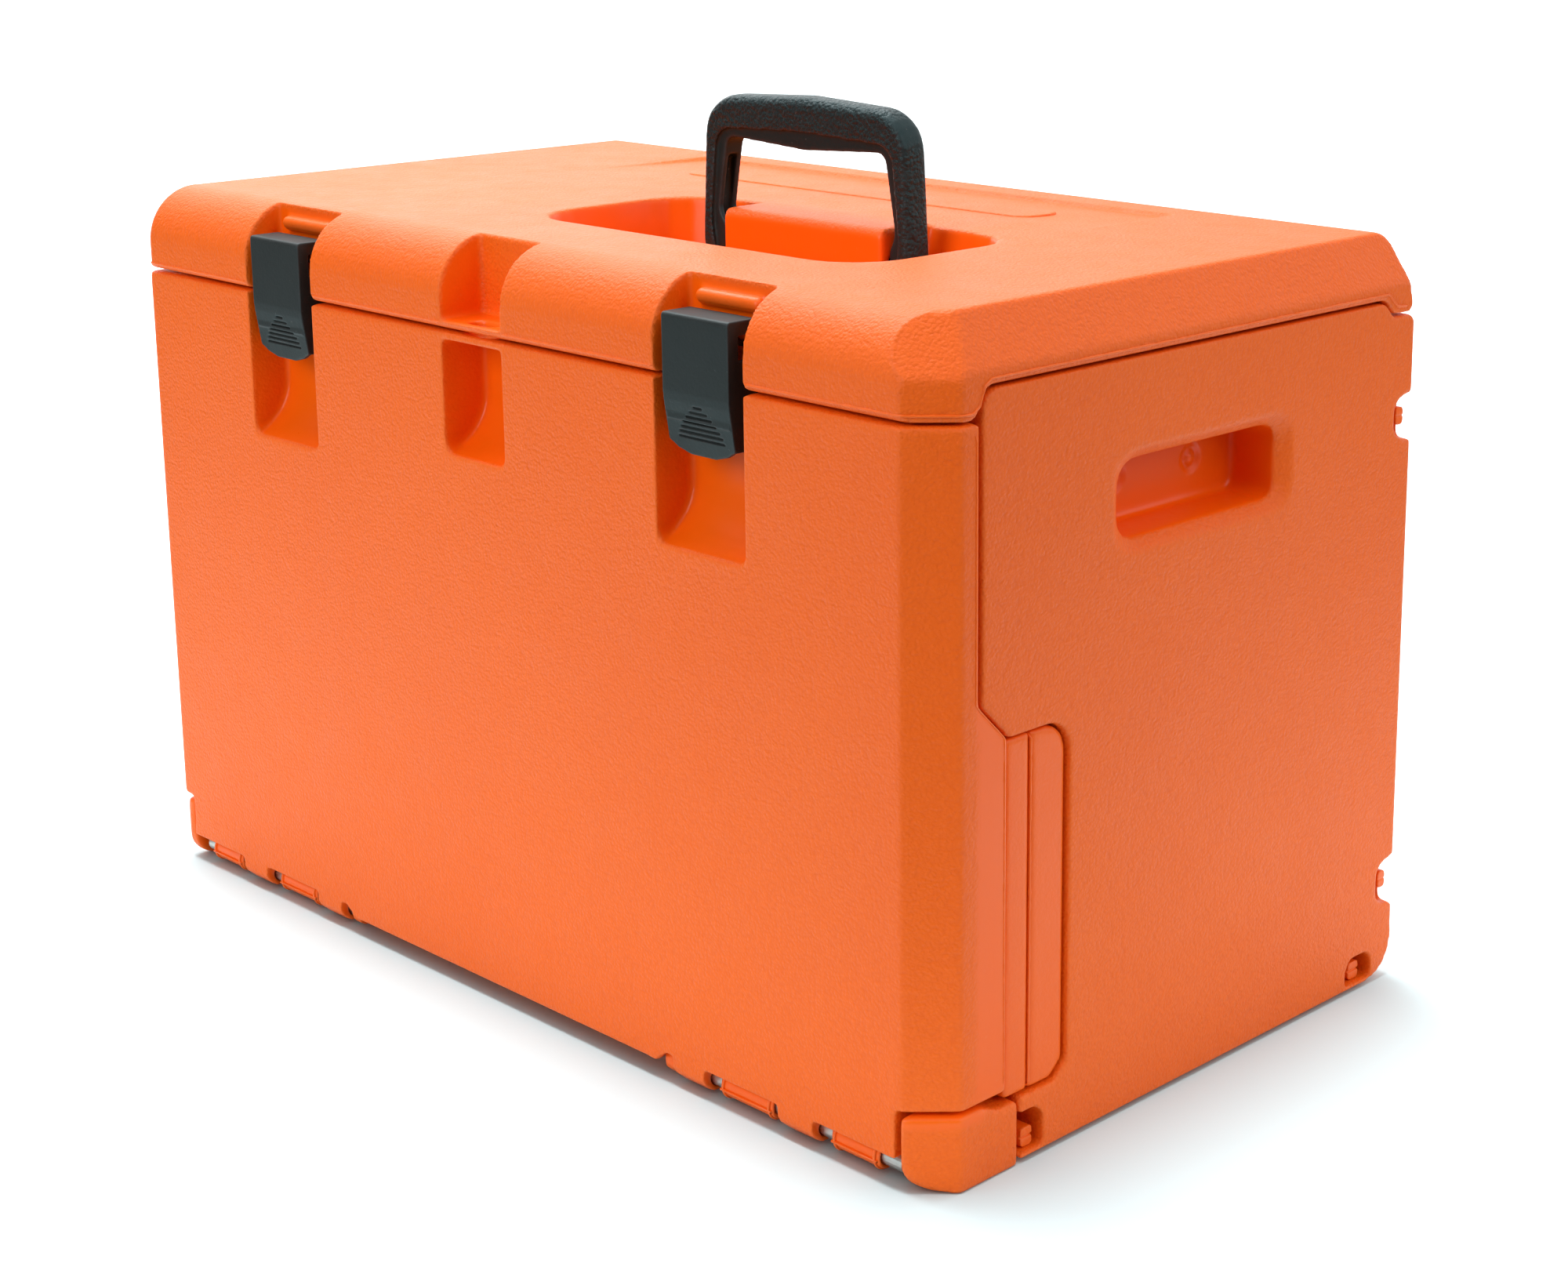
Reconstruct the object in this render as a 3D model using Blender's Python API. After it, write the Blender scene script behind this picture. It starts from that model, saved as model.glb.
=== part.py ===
"""Power-tool carrying case: blow-moulded double-wall panels, hinged lid, folding handle, two latches.

Frame: origin on the floor, midway between the two latches and between front and back, +X to the case's
right end, +Y to its back, +Z up. The right end has cut corners and reaches further than the plain left end.
Every length below is in millimetres and is turned into metres where a mesh is made.
"""

import math

import bmesh
import bpy
from mathutils import Matrix, Vector

MM = 0.001

# Overall case; tables by side hold the right end under 1 and the left end under -1
END_FACE = {1: 260.0, -1: 248.0}
END_THICKNESS = 29.7
LEFT_EDGE_RADIUS = 3.0
FRONT = -145.0
BACK = 144.5
LID_TOP = 328.1
CHAMFER_X = 16.0
CHAMFER_Y = 15.3
SEAM_FRONT = 290.4
SEAM_END = 301.6
SEAM_BACK = 295.3
SEAM_GAP = 1.1
STEP_LOW = -122.5
STEP_HIGH = -117.0
BACK_STEP_HIGH = 123.3
BACK_STEP_LOW = 129.3
LID_BACK = 142.7
LID_BACK_TOP = 139.8
LID_FRONT_RADIUS = 25.0
LID_BACK_RADIUS = 7.0
LID_LEFT = -247.7
LID_LEFT_RADIUS = 4.7
LID_SLOPE_X = 247.0
LID_SLOPE_Z = 307.5
LID_LEAN_Z = 306.0
LID_INNER_X = (-212.0, 224.0)
LID_INNER_Y = (-111.0, 112.0)
LID_INNER_Z = 298.0
FIT = 0.4
OVER = 2.0

# Panels
FRONT_INNER = -121.0
BACK_FACE = 144.2
BACK_INNER = 119.4
END_INNER = {side: face - END_THICKNESS for side, face in END_FACE.items()}
BASE_X = (-(END_INNER[-1] - FIT), END_INNER[1] - FIT)
BASE_TOP = 27.0
PANEL_BOTTOM = 12.3
SKIRT_BOTTOM = 7.2
SKIRT_TOP = 14.6
SKIRT_HALF_LENGTH = (104.7, 113.1)
END_BOTTOM = 2.0
CORNER_TOP = 30.6
CORNER_REAR_TOP = 26.5
CORNER_INSIDE = {1: 242.3, -1: 239.5}
CORNER_FACE = {1: END_FACE[1], -1: 246.0}
CORNER_CUT = {1: 240.0, -1: 239.0}
CORNER_REAR = -98.5
CORNER_STEP = (-119.0, -109.0)
CORNER_ROUND = 13.0
CORNER_GAP = 1.6
CORNER_ROOT = {side: inner - FIT - 4.0 for side, inner in END_INNER.items()}

# Bottom rod hinges, front and back
ROD_RADIUS = 4.0
ROD_BORE = 4.3
ROD_Y = 136.0
ROD_Z = 7.5
ROD_START = 106.0
ROD_END = {"front": {1: 239.0, -1: 236.0}, "rear": {1: 229.0, -1: 217.0}}
KNUCKLE_RADIUS = 5.9
KNUCKLE_RELIEF = 6.4
KNUCKLE_ARM = 2.0
BASE_KNUCKLES = ((106.5, 113.0), (140.0, 171.0))
LAST_KNUCKLE = 203.0
LAST_KNUCKLE_END = {"front": {1: 229.0, -1: 229.0}, "rear": {1: 229.0, -1: 217.0}}
TAB_RANGES = ((116.0, 134.0), (177.0, 196.0))
TAB_KNEE_Z = 6.9
TAB_SLANT = 5.5
TAB_BOTTOM = 1.6
TAB_BACK = 129.5
TAB_ROOT = 4.0

# Lid hinge
HINGE_Y = 141.5
HINGE_Z = SEAM_BACK
HINGE_ROD_RADIUS = 2.0
HINGE_BORE = 2.25
HINGE_KNUCKLE = 4.5
HINGE_RELIEF = 4.95
HINGE_START = 110.0
HINGE_PITCH = 18.0
HINGE_KNUCKLES = 5
HINGE_PLAY = 0.3

# Latches and their recesses
LATCH_X = 139.0
LATCH_RECESS_WIDTH = 50.0
LATCH_RECESS_BACK = -126.0
LATCH_RECESS_FLOOR = 224.0
LATCH_WIDTH = 37.0
LATCH_FACE = -146.0
LATCH_TOP = 315.5
LATCH_BOTTOM = 261.8
LATCH_SIDE_BOTTOM = 266.0
LATCH_WALL = 2.2
LATCH_BACK = -131.0
PIVOT_Y = -134.0
PIVOT_Z = 309.5
PIVOT_RADIUS = 2.5
PIVOT_BORE = 2.9
PIVOT_HUB = 4.7
PIVOT_HUB_WIDTH = 29.0
RIDGE_LENGTH = 34.0
RIDGE_RADIUS = 3.2
RIDGE_Z = 319.0
LATCH_BEND_Z = 284.0
LATCH_BEND = 20.0
LATCH_LIP_IN = 3.6
LATCH_LIP_HALF = 10.2
LATCH_LIP_RADIUS = 14.0
LATCH_FLANGE_Y = (1.0, 4.2, 9.0)
LATCH_FLANGE_KNEE = 274.0
LATCH_WINDOW_Y = (5.5, 2.2)
LATCH_WINDOW_Z = (-9.0, 0.5)
LATCH_HOOK_Z = (275.0, 278.0)
KEEPER_HALF = 14.0
KEEPER_FACE = -131.5
KEEPER_Z = (280.5, 283.0, 288.0, 289.0)

# Padlock recess
LOCK_RECESS_WIDTH = 40.0
LOCK_RECESS_BACK = -123.0
LOCK_RECESS_FLOOR = 238.0
LOCK_FLANGE = 3.5
LOCK_HOLE_LENGTH = 17.0
LOCK_HOLE_WIDTH = 8.0
LOCK_HOLE_Y = -136.5

# Scabbard and its slot in the right end
SCABBARD_FRONT = -105.0
SCABBARD_BACK = -72.0
SCABBARD_PARTING = -91.5
SCABBARD_BOTTOM = 28.3
SCABBARD_TOP = 169.6
SCABBARD_HEAD = 258.4
SCABBARD_TAIL = -213.0
SCABBARD_WALL = 4.5
SLOT_EDGE = 1.0
SLOT_FACE = SCABBARD_FRONT - FIT
WRAP_TOP = 171.0
WRAP_SHOULDER = 187.0

# Grab pockets in the ends
GRAB_Y = 7.0
GRAB_Z = 246.5
GRAB_RIM = (110.0, 42.0)
GRAB_MOUTH = (96.0, 30.0)
GRAB_CORNER = 9.0
GRAB_BEVEL = 5.0
GRAB_DEPTH = 26.0

# Locking pegs in notches of the end panels; depths are measured in from the end's face
PEG_BACK_Z = ((243.6, 258.7), (36.2, 53.1))
PEG_NOTCH_IN = 132.4
PEG_NOTCH_FLARE = 3.0
PEG_NOTCH_RADIUS = 6.5
PEG_NOTCH_DEPTH = 18.0
PEG_NOTCH_LIP = (6.5, 143.0, 144.1)
PEG_BOTTOM_NOTCH = ((-100.5, -84.5, 20.5), (111.5, 130.0, 15.9))
PEG_NOTCH_SILL = 3.7
PEG_DEPTH = 3.0
PEG_RADIUS = 1.6
PEG_BACK_Y = (137.4, 142.5)
PEG_BACK_HALF = 3.8
PEG_BOTTOM_Y = ((-94.0, -87.6), (117.4, 124.6))
PEG_BOTTOM_Z = (4.1, 12.0)
PEG_SLOT = (0.9, 0.45)

# Carry handle, saddle and scoop in the lid
HANDLE_X = 51.0
HANDLE_MIDDLE = 49.6
HANDLE_PIVOT_Z = 314.0
HANDLE_TOP = 380.5
HANDLE_HALF_WIDTH = 64.3
HANDLE_HALF_TOP = 60.0
HANDLE_LEG = 10.0
HANDLE_DEPTH = 14.0
GRIP_UNDER = 360.5
GRIP_SWELL = 357.8
FOOT_RADIUS = 7.0
HANDLE_SHOULDER = 18.0
LEG_FOOT_Z = 6.0
LEG_KNEE_Z = 12.0
STUB_RADIUS = 3.4
STUB_BORE = 3.8
SADDLE_HALF_LENGTH = 48.5
SADDLE_FRONT = -9.0
SADDLE_TOP = 329.5
SADDLE_BACK = 24.0
SCOOP_X = (-50.0, 154.0)
SCOOP_Y = (-77.0, 19.5)
SCOOP_CORNER = 26.0
SCOOP_FLOOR = 304.5
SCOOP_DRAFT = 4.0
SADDLE_FLARE = 3.5
SADDLE_SLOPE = 6.0

# Shallow label field on the lid
LABEL_HALF_LENGTH = 152.0
LABEL_Y = (50.0, 118.0)
LABEL_DEPTH = 2.0

ORANGE = (0.86, 0.15, 0.02)
BLACK = (0.028, 0.028, 0.03)
STEEL = (0.52, 0.51, 0.48)

AXIS_FRAMES = {
    "X": Matrix(((0, 0, 1), (1, 0, 0), (0, 1, 0))),
    "Y": Matrix(((1, 0, 0), (0, 0, -1), (0, 1, 0))),
    "Z": Matrix(((1, 0, 0), (0, 1, 0), (0, 0, 1))),
}


def clear_scene():
    for item in list(bpy.data.objects):
        bpy.data.objects.remove(item, do_unlink=True)


def make_collection(name):
    collection = bpy.data.collections.new(name)
    bpy.context.scene.collection.children.link(collection)
    return collection


def make_material(name, colour, roughness, metallic):
    material = bpy.data.materials.new(name)
    material.use_nodes = True
    shader = material.node_tree.nodes["Principled BSDF"]
    shader.inputs["Base Color"].default_value = (*colour, 1.0)
    shader.inputs["Roughness"].default_value = roughness
    shader.inputs["Metallic"].default_value = metallic
    return material


def rounded(corners, steps=4):
    """Outline from (u, v, radius) corners, each turned into an arc with steps segments per quarter turn."""
    outline = []
    count = len(corners)
    for index, (u, v, radius) in enumerate(corners):
        here = Vector((u, v))
        if radius <= 0:
            outline.append((u, v))
            continue
        before = Vector(corners[index - 1][:2])
        after = Vector(corners[(index + 1) % count][:2])
        to_before = (before - here).normalized()
        to_after = (after - here).normalized()
        half = to_before.angle(to_after) / 2
        centre = here + (to_before + to_after).normalized() * (radius / math.sin(half))
        first = here + to_before * (radius / math.tan(half)) - centre
        last = here + to_after * (radius / math.tan(half)) - centre
        turn = math.atan2(first.x * last.y - first.y * last.x, first.dot(last))
        segments = max(1, round(abs(turn) / (math.pi / 2) * steps))
        for step in range(segments + 1):
            point = centre + Matrix.Rotation(turn * step / segments, 2) @ first
            outline.append((point.x, point.y))
    return outline


def rectangle(u_range, v_range, radius):
    """Four corners of a rectangle, for rounded()."""
    return [
        (u_range[0], v_range[0], radius),
        (u_range[1], v_range[0], radius),
        (u_range[1], v_range[1], radius),
        (u_range[0], v_range[1], radius),
    ]


def mesh_object(name, mesh, collection):
    item = bpy.data.objects.new(name, mesh)
    collection.objects.link(item)
    return item


def prism(name, axis, outline, low, high, collection):
    """Closed solid with a flat outline, between low and high along the axis."""
    curve = bpy.data.curves.new(name, "CURVE")
    curve.dimensions = "2D"
    curve.fill_mode = "BOTH"
    curve.extrude = (high - low) / 2 * MM
    spline = curve.splines.new("POLY")
    spline.points.add(len(outline) - 1)
    for point, (u, v) in zip(spline.points, outline):
        point.co = (u * MM, v * MM, 0.0, 1.0)
    spline.use_cyclic_u = True
    holder = bpy.data.objects.new(name + "_curve", curve)
    collection.objects.link(holder)
    bpy.context.view_layer.update()
    evaluated = holder.evaluated_get(bpy.context.evaluated_depsgraph_get())
    mesh = bpy.data.meshes.new_from_object(evaluated)
    bpy.data.objects.remove(holder, do_unlink=True)
    frame = AXIS_FRAMES[axis].to_4x4()
    middle = frame @ Vector((0, 0, 1)) * ((low + high) / 2 * MM)
    if axis == "Y":
        middle = -middle
    shape = bmesh.new()
    shape.from_mesh(mesh)
    bmesh.ops.remove_doubles(shape, verts=shape.verts, dist=1e-6)
    bmesh.ops.transform(shape, matrix=Matrix.Translation(middle) @ frame, verts=shape.verts)
    bmesh.ops.recalc_face_normals(shape, faces=shape.faces)
    shape.to_mesh(mesh)
    shape.free()
    mesh.name = name
    return mesh_object(name, mesh, collection)


def box(name, low, high, collection):
    """Box between two corners."""
    shape = bmesh.new()
    bmesh.ops.create_cube(shape, size=1.0)
    size = [(b - a) * MM for a, b in zip(low, high)]
    middle = [(a + b) / 2 * MM for a, b in zip(low, high)]
    place = Matrix.Translation(middle) @ Matrix.Diagonal((*size, 1.0))
    bmesh.ops.transform(shape, matrix=place, verts=shape.verts)
    mesh = bpy.data.meshes.new(name)
    shape.to_mesh(mesh)
    shape.free()
    return mesh_object(name, mesh, collection)


def cylinder(name, radius, start, end, y, z, collection, segments=24):
    """Cylinder along X from start to end."""
    shape = bmesh.new()
    bmesh.ops.create_cone(
        shape,
        cap_ends=True,
        segments=segments,
        radius1=radius * MM,
        radius2=radius * MM,
        depth=abs(end - start) * MM,
    )
    place = Matrix.Translation(((start + end) / 2 * MM, y * MM, z * MM))
    turn = Matrix.Rotation(math.pi / 2, 4, "Y") @ Matrix.Rotation(math.pi / segments, 4, "Z")
    bmesh.ops.transform(shape, matrix=place @ turn, verts=shape.verts)
    mesh = bpy.data.meshes.new(name)
    shape.to_mesh(mesh)
    shape.free()
    return mesh_object(name, mesh, collection)


def taper(name, axis, low, low_size, high, high_size, centre, corner, collection):
    """Four-sided taper between two rectangles centred on one line, with rounded long edges."""
    shape = bmesh.new()
    bmesh.ops.create_cube(shape, size=1.0)
    for vert in shape.verts:
        size = high_size if vert.co.z > 0 else low_size
        level = high if vert.co.z > 0 else low
        vert.co.x = (centre[0] + vert.co.x * size[0]) * MM
        vert.co.y = (centre[1] + vert.co.y * size[1]) * MM
        vert.co.z = level * MM
    long_edges = [edge for edge in shape.edges if abs(edge.verts[0].co.z - edge.verts[1].co.z) > MM]
    bmesh.ops.bevel(shape, geom=long_edges, offset=corner * MM, segments=4, profile=0.5, affect="EDGES")
    frame = AXIS_FRAMES[axis].to_4x4()
    if axis == "Y":
        frame = frame @ Matrix.Diagonal((1.0, 1.0, -1.0, 1.0))
    bmesh.ops.transform(shape, matrix=frame, verts=shape.verts)
    bmesh.ops.recalc_face_normals(shape, faces=shape.faces)
    mesh = bpy.data.meshes.new(name)
    shape.to_mesh(mesh)
    shape.free()
    return mesh_object(name, mesh, collection)


def combine(target, tool, operation):
    """Boolean of one object with another, kept as a modifier."""
    modifier = target.modifiers.new(tool.name, "BOOLEAN")
    modifier.operation = operation
    modifier.solver = "EXACT"
    modifier.object = tool
    tool.display_type = "WIRE"
    tool.hide_render = True


def cut(target, *tools):
    for tool in tools:
        combine(target, tool, "DIFFERENCE")


def join(target, *tools):
    for tool in tools:
        combine(target, tool, "UNION")


def keep(target, tool):
    combine(target, tool, "INTERSECT")


def finish(item, material, smooth=False):
    item.data.materials.clear()
    item.data.materials.append(material)
    if smooth:
        for polygon in item.data.polygons:
            polygon.use_smooth = True
    return item


def set_origin(item, x, y, z):
    """Move an object's origin to a point without moving its shape."""
    point = Vector((x, y, z)) * MM
    item.data.transform(Matrix.Translation(-point))
    item.location = point


def scoop_outline(recess_back, floor, top):
    """Side view of a finger recess: straight back wall, round floor running out to the front face."""
    lip = FRONT - 1.0
    depth = recess_back - lip
    drop = 25.0
    radius = (depth * depth + drop * drop) / (2 * depth)
    centre_y = recess_back - radius
    centre_z = floor + drop
    sweep = math.asin(drop / radius)
    outline = [(lip - 4.0, top), (recess_back, top)]
    steps = 7
    for step in range(steps + 1):
        angle = -sweep * step / steps
        outline.append((centre_y + radius * math.cos(angle), centre_z + radius * math.sin(angle)))
    outline.append((lip - 4.0, floor))
    return outline


def plan_outline(back):
    """Plan of the front wall: a cut corner on the right, a plain one on the left."""
    right = END_FACE[1]
    left = -END_FACE[-1]
    return rounded(
        [
            (left, FRONT, LEFT_EDGE_RADIUS),
            (right - CHAMFER_X, FRONT, 0.0),
            (right, FRONT + CHAMFER_Y, 0.0),
            (right, back, 0.0),
            (left, back, 0.0),
        ]
    )


def both_sides(pairs):
    """Mirror (low, high) ranges on +X to the -X side as well."""
    return [*pairs, *[(-high, -low) for low, high in pairs]]


def base_knuckle_ranges(wall):
    """X ranges of the base's knuckles along the front or the rear wall."""
    ranges = both_sides(BASE_KNUCKLES)
    for side, end in LAST_KNUCKLE_END[wall].items():
        ranges.append(tuple(sorted((side * LAST_KNUCKLE, side * end))))
    return ranges


def base_knuckles(wall, item, sign, root, tools):
    """Knuckles round the bottom rods, each joined to the base by an arm."""
    for index, (low, high) in enumerate(base_knuckle_ranges(wall)):
        label = f"base_{wall}_{index}"
        barrel = cylinder(label + "_barrel", KNUCKLE_RADIUS, low, high, sign * ROD_Y, ROD_Z, tools)
        near, far = sorted((sign * root, sign * ROD_Y))
        arm_low = (low, near, ROD_Z - KNUCKLE_RADIUS)
        arm_high = (high, far, ROD_Z + KNUCKLE_ARM)
        join(item, box(label + "_arm", arm_low, arm_high, tools), barrel)


def panel_tabs(wall, item, sign, face, tools):
    """Tabs that hang from a wall panel, flush with its face, and take the bottom rods."""
    top = PANEL_BOTTOM + TAB_ROOT
    side_view = [
        (face, top, 0.0),
        (face, TAB_KNEE_Z, 2.0),
        (face - TAB_SLANT, TAB_BOTTOM, 3.5),
        (TAB_BACK, TAB_BOTTOM, 3.5),
        (TAB_BACK, top, 0.0),
    ]
    outline = [(sign * y, z) for y, z in rounded(side_view)]
    for index, (low, high) in enumerate(both_sides(TAB_RANGES)):
        join(item, prism(f"{wall}_tab_{index}", "X", outline, low, high, tools))


def rod_relief(wall, item, sign, tools):
    """Room in a wall panel for the base's knuckles."""
    for index, (low, high) in enumerate(base_knuckle_ranges(wall)):
        label = f"{wall}_relief_{index}"
        cut(item, cylinder(label, KNUCKLE_RELIEF, low - 1, high + 1, sign * ROD_Y, ROD_Z, tools))


def rod_bores(prefix, wall, item, sign, tools):
    for side, name in ((1, "right"), (-1, "left")):
        start = side * (ROD_START - 1)
        end = side * (ROD_END[wall][side] + 1.5)
        label = f"{prefix}_{wall}_bore_{name}"
        cut(item, cylinder(label, ROD_BORE, start, end, sign * ROD_Y, ROD_Z, tools))


def corner_plan(side, front):
    """Plan of a corner block of the base and of the root that joins it to the base."""
    face = side * CORNER_FACE[side]
    inside = side * CORNER_INSIDE[side]
    root = side * CORNER_ROOT[side]
    if side > 0:
        outer = [(face - CHAMFER_X, FRONT, 0.0), (face, FRONT + CHAMFER_Y, 0.0)]
    else:
        outer = [(face, FRONT, LEFT_EDGE_RADIUS)]
    rest = [(face, CORNER_REAR, 0.0), (root, CORNER_REAR, 0.0), (root, front, 0.0), (inside, front, 0.0)]
    return rounded([(inside, FRONT, 0.0), *outer, *rest])


def make_base(parts, tools):
    front = FRONT_INNER + FIT
    back = BACK_INNER - FIT
    base = box("base_panel", (BASE_X[0], front, 0.0), (BASE_X[1], back, BASE_TOP), parts)
    block_side = rounded(
        [
            (FRONT, 0.0, CORNER_ROUND),
            (FRONT, CORNER_TOP, 3.0),
            (CORNER_STEP[0], CORNER_TOP, 3.0),
            (CORNER_STEP[1], CORNER_REAR_TOP, 3.0),
            (CORNER_REAR, CORNER_REAR_TOP, 2.0),
            (CORNER_REAR, 0.0, 0.0),
        ]
    )
    for side, name in ((1, "right"), (-1, "left")):
        low, high = sorted((side * CORNER_ROOT[side], side * CORNER_FACE[side]))
        block = prism("corner_block_" + name, "X", block_side, low, high, tools)
        plan = corner_plan(side, front)
        keep(block, prism("corner_plan_" + name, "Z", plan, -OVER, CORNER_TOP + OVER, tools))
        join(base, block)
    base_knuckles("front", base, -1, -FRONT_INNER - 1, tools)
    base_knuckles("rear", base, 1, BACK_INNER - 1, tools)
    rod_bores("base", "front", base, -1, tools)
    rod_bores("base", "rear", base, 1, tools)
    return base


def skirt(prefix, sign, outer, inner, tools):
    """Middle part of a wall that hangs lower between the rods, with slanted ends clear of the base's arms."""
    bottom, top = SKIRT_HALF_LENGTH
    outline = [(-bottom, SKIRT_BOTTOM), (bottom, SKIRT_BOTTOM), (top, SKIRT_TOP), (-top, SKIRT_TOP)]
    hanging = prism(prefix + "_skirt", "Y", outline, min(outer, inner), max(outer, inner), tools)
    near, far = sorted((sign * ROD_Y, inner - sign))
    for index, (low, high) in enumerate(both_sides(BASE_KNUCKLES[:1])):
        room_low = (low - 1, near, 0.0)
        room_high = (high + 1, far, ROD_Z + KNUCKLE_ARM + 1.0)
        cut(hanging, box(f"{prefix}_skirt_room_{index}", room_low, room_high, tools))
    return hanging


def make_front(parts, tools):
    top = SEAM_FRONT - SEAM_GAP / 2
    front = prism("front_panel", "Z", plan_outline(FRONT_INNER), PANEL_BOTTOM, top, parts)
    wrap_bottom = CORNER_TOP + CORNER_GAP
    wrap_side = [
        (FRONT_INNER - OVER, WRAP_SHOULDER + OVER),
        (FRONT_INNER, WRAP_SHOULDER),
        (SLOT_FACE, WRAP_TOP),
        (SLOT_FACE, wrap_bottom),
        (FRONT_INNER - OVER, wrap_bottom),
    ]
    wrap = prism("front_wrap", "X", wrap_side, END_INNER[1] - 2 * FIT, END_FACE[1], tools)
    join(front, skirt("front", -1, FRONT, FRONT_INNER, tools), wrap)
    for side, name in ((1, "right"), (-1, "left")):
        low, high = sorted((side * CORNER_CUT[side], side * (END_FACE[side] + OVER)))
        corner_low = (low, FRONT - OVER, 0.0)
        corner_high = (high, FRONT_INNER + OVER, wrap_bottom)
        cut(front, box("front_corner_" + name, corner_low, corner_high, tools))
    rod_relief("front", front, -1, tools)
    panel_tabs("front", front, -1, -FRONT, tools)
    rod_bores("panel", "front", front, -1, tools)
    for side, name in ((1, "right"), (-1, "left")):
        outline = scoop_outline(LATCH_RECESS_BACK, LATCH_RECESS_FLOOR, SEAM_FRONT + 2)
        middle = side * LATCH_X
        recess = prism(
            "front_latch_recess_" + name,
            "X",
            outline,
            middle - LATCH_RECESS_WIDTH / 2,
            middle + LATCH_RECESS_WIDTH / 2,
            tools,
        )
        keeper_side = rounded(
            [
                (LATCH_RECESS_BACK + 1, KEEPER_Z[3], 0.0),
                (LATCH_RECESS_BACK + 1, KEEPER_Z[0], 0.0),
                (KEEPER_FACE, KEEPER_Z[1], 1.5),
                (KEEPER_FACE, KEEPER_Z[2], 1.5),
            ]
        )
        ends = (middle - KEEPER_HALF, middle + KEEPER_HALF)
        keeper = prism("keeper_" + name, "X", keeper_side, *ends, tools)
        cut(front, recess)
        join(front, keeper)
    lock_top = top - LOCK_FLANGE
    lock = prism(
        "front_lock_recess",
        "X",
        scoop_outline(LOCK_RECESS_BACK, LOCK_RECESS_FLOOR, lock_top),
        -LOCK_RECESS_WIDTH / 2,
        LOCK_RECESS_WIDTH / 2,
        tools,
    )
    cut(front, lock, lock_hole("front_lock_hole", lock_top - 2, SEAM_FRONT + 2, tools))
    return front


def lock_hole(name, low, high, tools):
    end = (LOCK_HOLE_LENGTH - LOCK_HOLE_WIDTH) / 2
    half = LOCK_HOLE_WIDTH / 2
    corners = rectangle((-end - half, end + half), (LOCK_HOLE_Y - half, LOCK_HOLE_Y + half), half - 0.01)
    return prism(name, "Z", rounded(corners), low, high, tools)


def make_back(parts, tools):
    top = SEAM_BACK - SEAM_GAP / 2
    side = rounded(
        [
            (BACK_INNER, PANEL_BOTTOM, 0.0),
            (BACK_FACE, PANEL_BOTTOM, 3.0),
            (BACK_FACE, top, 4.0),
            (BACK_STEP_LOW, top, 2.5),
            (BACK_STEP_HIGH, SEAM_END - SEAM_GAP / 2, 3.0),
            (BACK_INNER, SEAM_END - SEAM_GAP / 2, 0.0),
        ]
    )
    back = prism("rear_panel", "X", side, *BASE_X, parts)
    join(back, skirt("rear", 1, BACK_FACE - FIT, BACK_INNER + FIT, tools))
    rod_relief("rear", back, 1, tools)
    panel_tabs("rear", back, 1, BACK_FACE - FIT, tools)
    rod_bores("panel", "rear", back, 1, tools)
    hinge_knuckles("back_hinge", back, 0, tools)
    return back


def hinge_ranges(parity):
    """X ranges of every second lid-hinge knuckle on both sides."""
    ranges = []
    for index in range(HINGE_KNUCKLES):
        low = HINGE_START + index * HINGE_PITCH
        if index % 2 == parity:
            ranges.append((low, low + HINGE_PITCH))
    return both_sides(ranges)


def hinge_knuckles(prefix, item, parity, tools):
    """Cut room for the other leaf's knuckles, add this leaf's own, and bore them for the rod."""
    for index, (low, high) in enumerate(hinge_ranges(1 - parity)):
        label = f"{prefix}_room_{index}"
        ends = (low - HINGE_PLAY, high + HINGE_PLAY)
        cut(item, cylinder(label, HINGE_RELIEF, *ends, HINGE_Y, HINGE_Z, tools))
    for index, (low, high) in enumerate(hinge_ranges(parity)):
        label = f"{prefix}_barrel_{index}"
        ends = (low + HINGE_PLAY, high - HINGE_PLAY)
        join(item, cylinder(label, HINGE_KNUCKLE, *ends, HINGE_Y, HINGE_Z, tools))
    for side, name in ((1, "right"), (-1, "left")):
        start = side * (HINGE_START - 1)
        end = side * (HINGE_START + HINGE_KNUCKLES * HINGE_PITCH + 1)
        cut(item, cylinder(f"{prefix}_bore_{name}", HINGE_BORE, start, end, HINGE_Y, HINGE_Z, tools, 16))


def end_outline(side):
    """Side view of an end panel; the right one is cut back for the scabbard."""
    top = SEAM_END - SEAM_GAP / 2
    back_top = SEAM_BACK - SEAM_GAP / 2
    edge = FRONT_INNER + CORNER_GAP
    rear = CORNER_REAR + 0.7
    slot_bottom = SCABBARD_BOTTOM - SLOT_EDGE
    corners = [
        (edge, top, 8.0),
        (BACK_STEP_HIGH, top, 3.0),
        (BACK_STEP_LOW, back_top, 2.5),
        (BACK, back_top, 4.0),
        (BACK, END_BOTTOM, 17.0),
        (rear, END_BOTTOM, 0.0),
        (rear, slot_bottom, 1.0),
    ]
    if side < 0:
        corners[-1] = (rear, CORNER_TOP + CORNER_GAP, 0.0)
        corners.append((edge, CORNER_TOP + CORNER_GAP, 2.0))
        return rounded(corners)
    inner = SCABBARD_BACK + SLOT_EDGE
    slot_top = SCABBARD_TOP + SLOT_EDGE
    slot_front = SLOT_FACE + SLOT_EDGE
    corners += [
        (inner - 7.0, slot_bottom, 0.0),
        (inner, slot_bottom + 6.5, 3.0),
        (inner, slot_top, 12.0),
        (slot_front, slot_top, 0.0),
        (edge, slot_top + slot_front - edge, 0.0),
    ]
    return rounded(corners)


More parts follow.
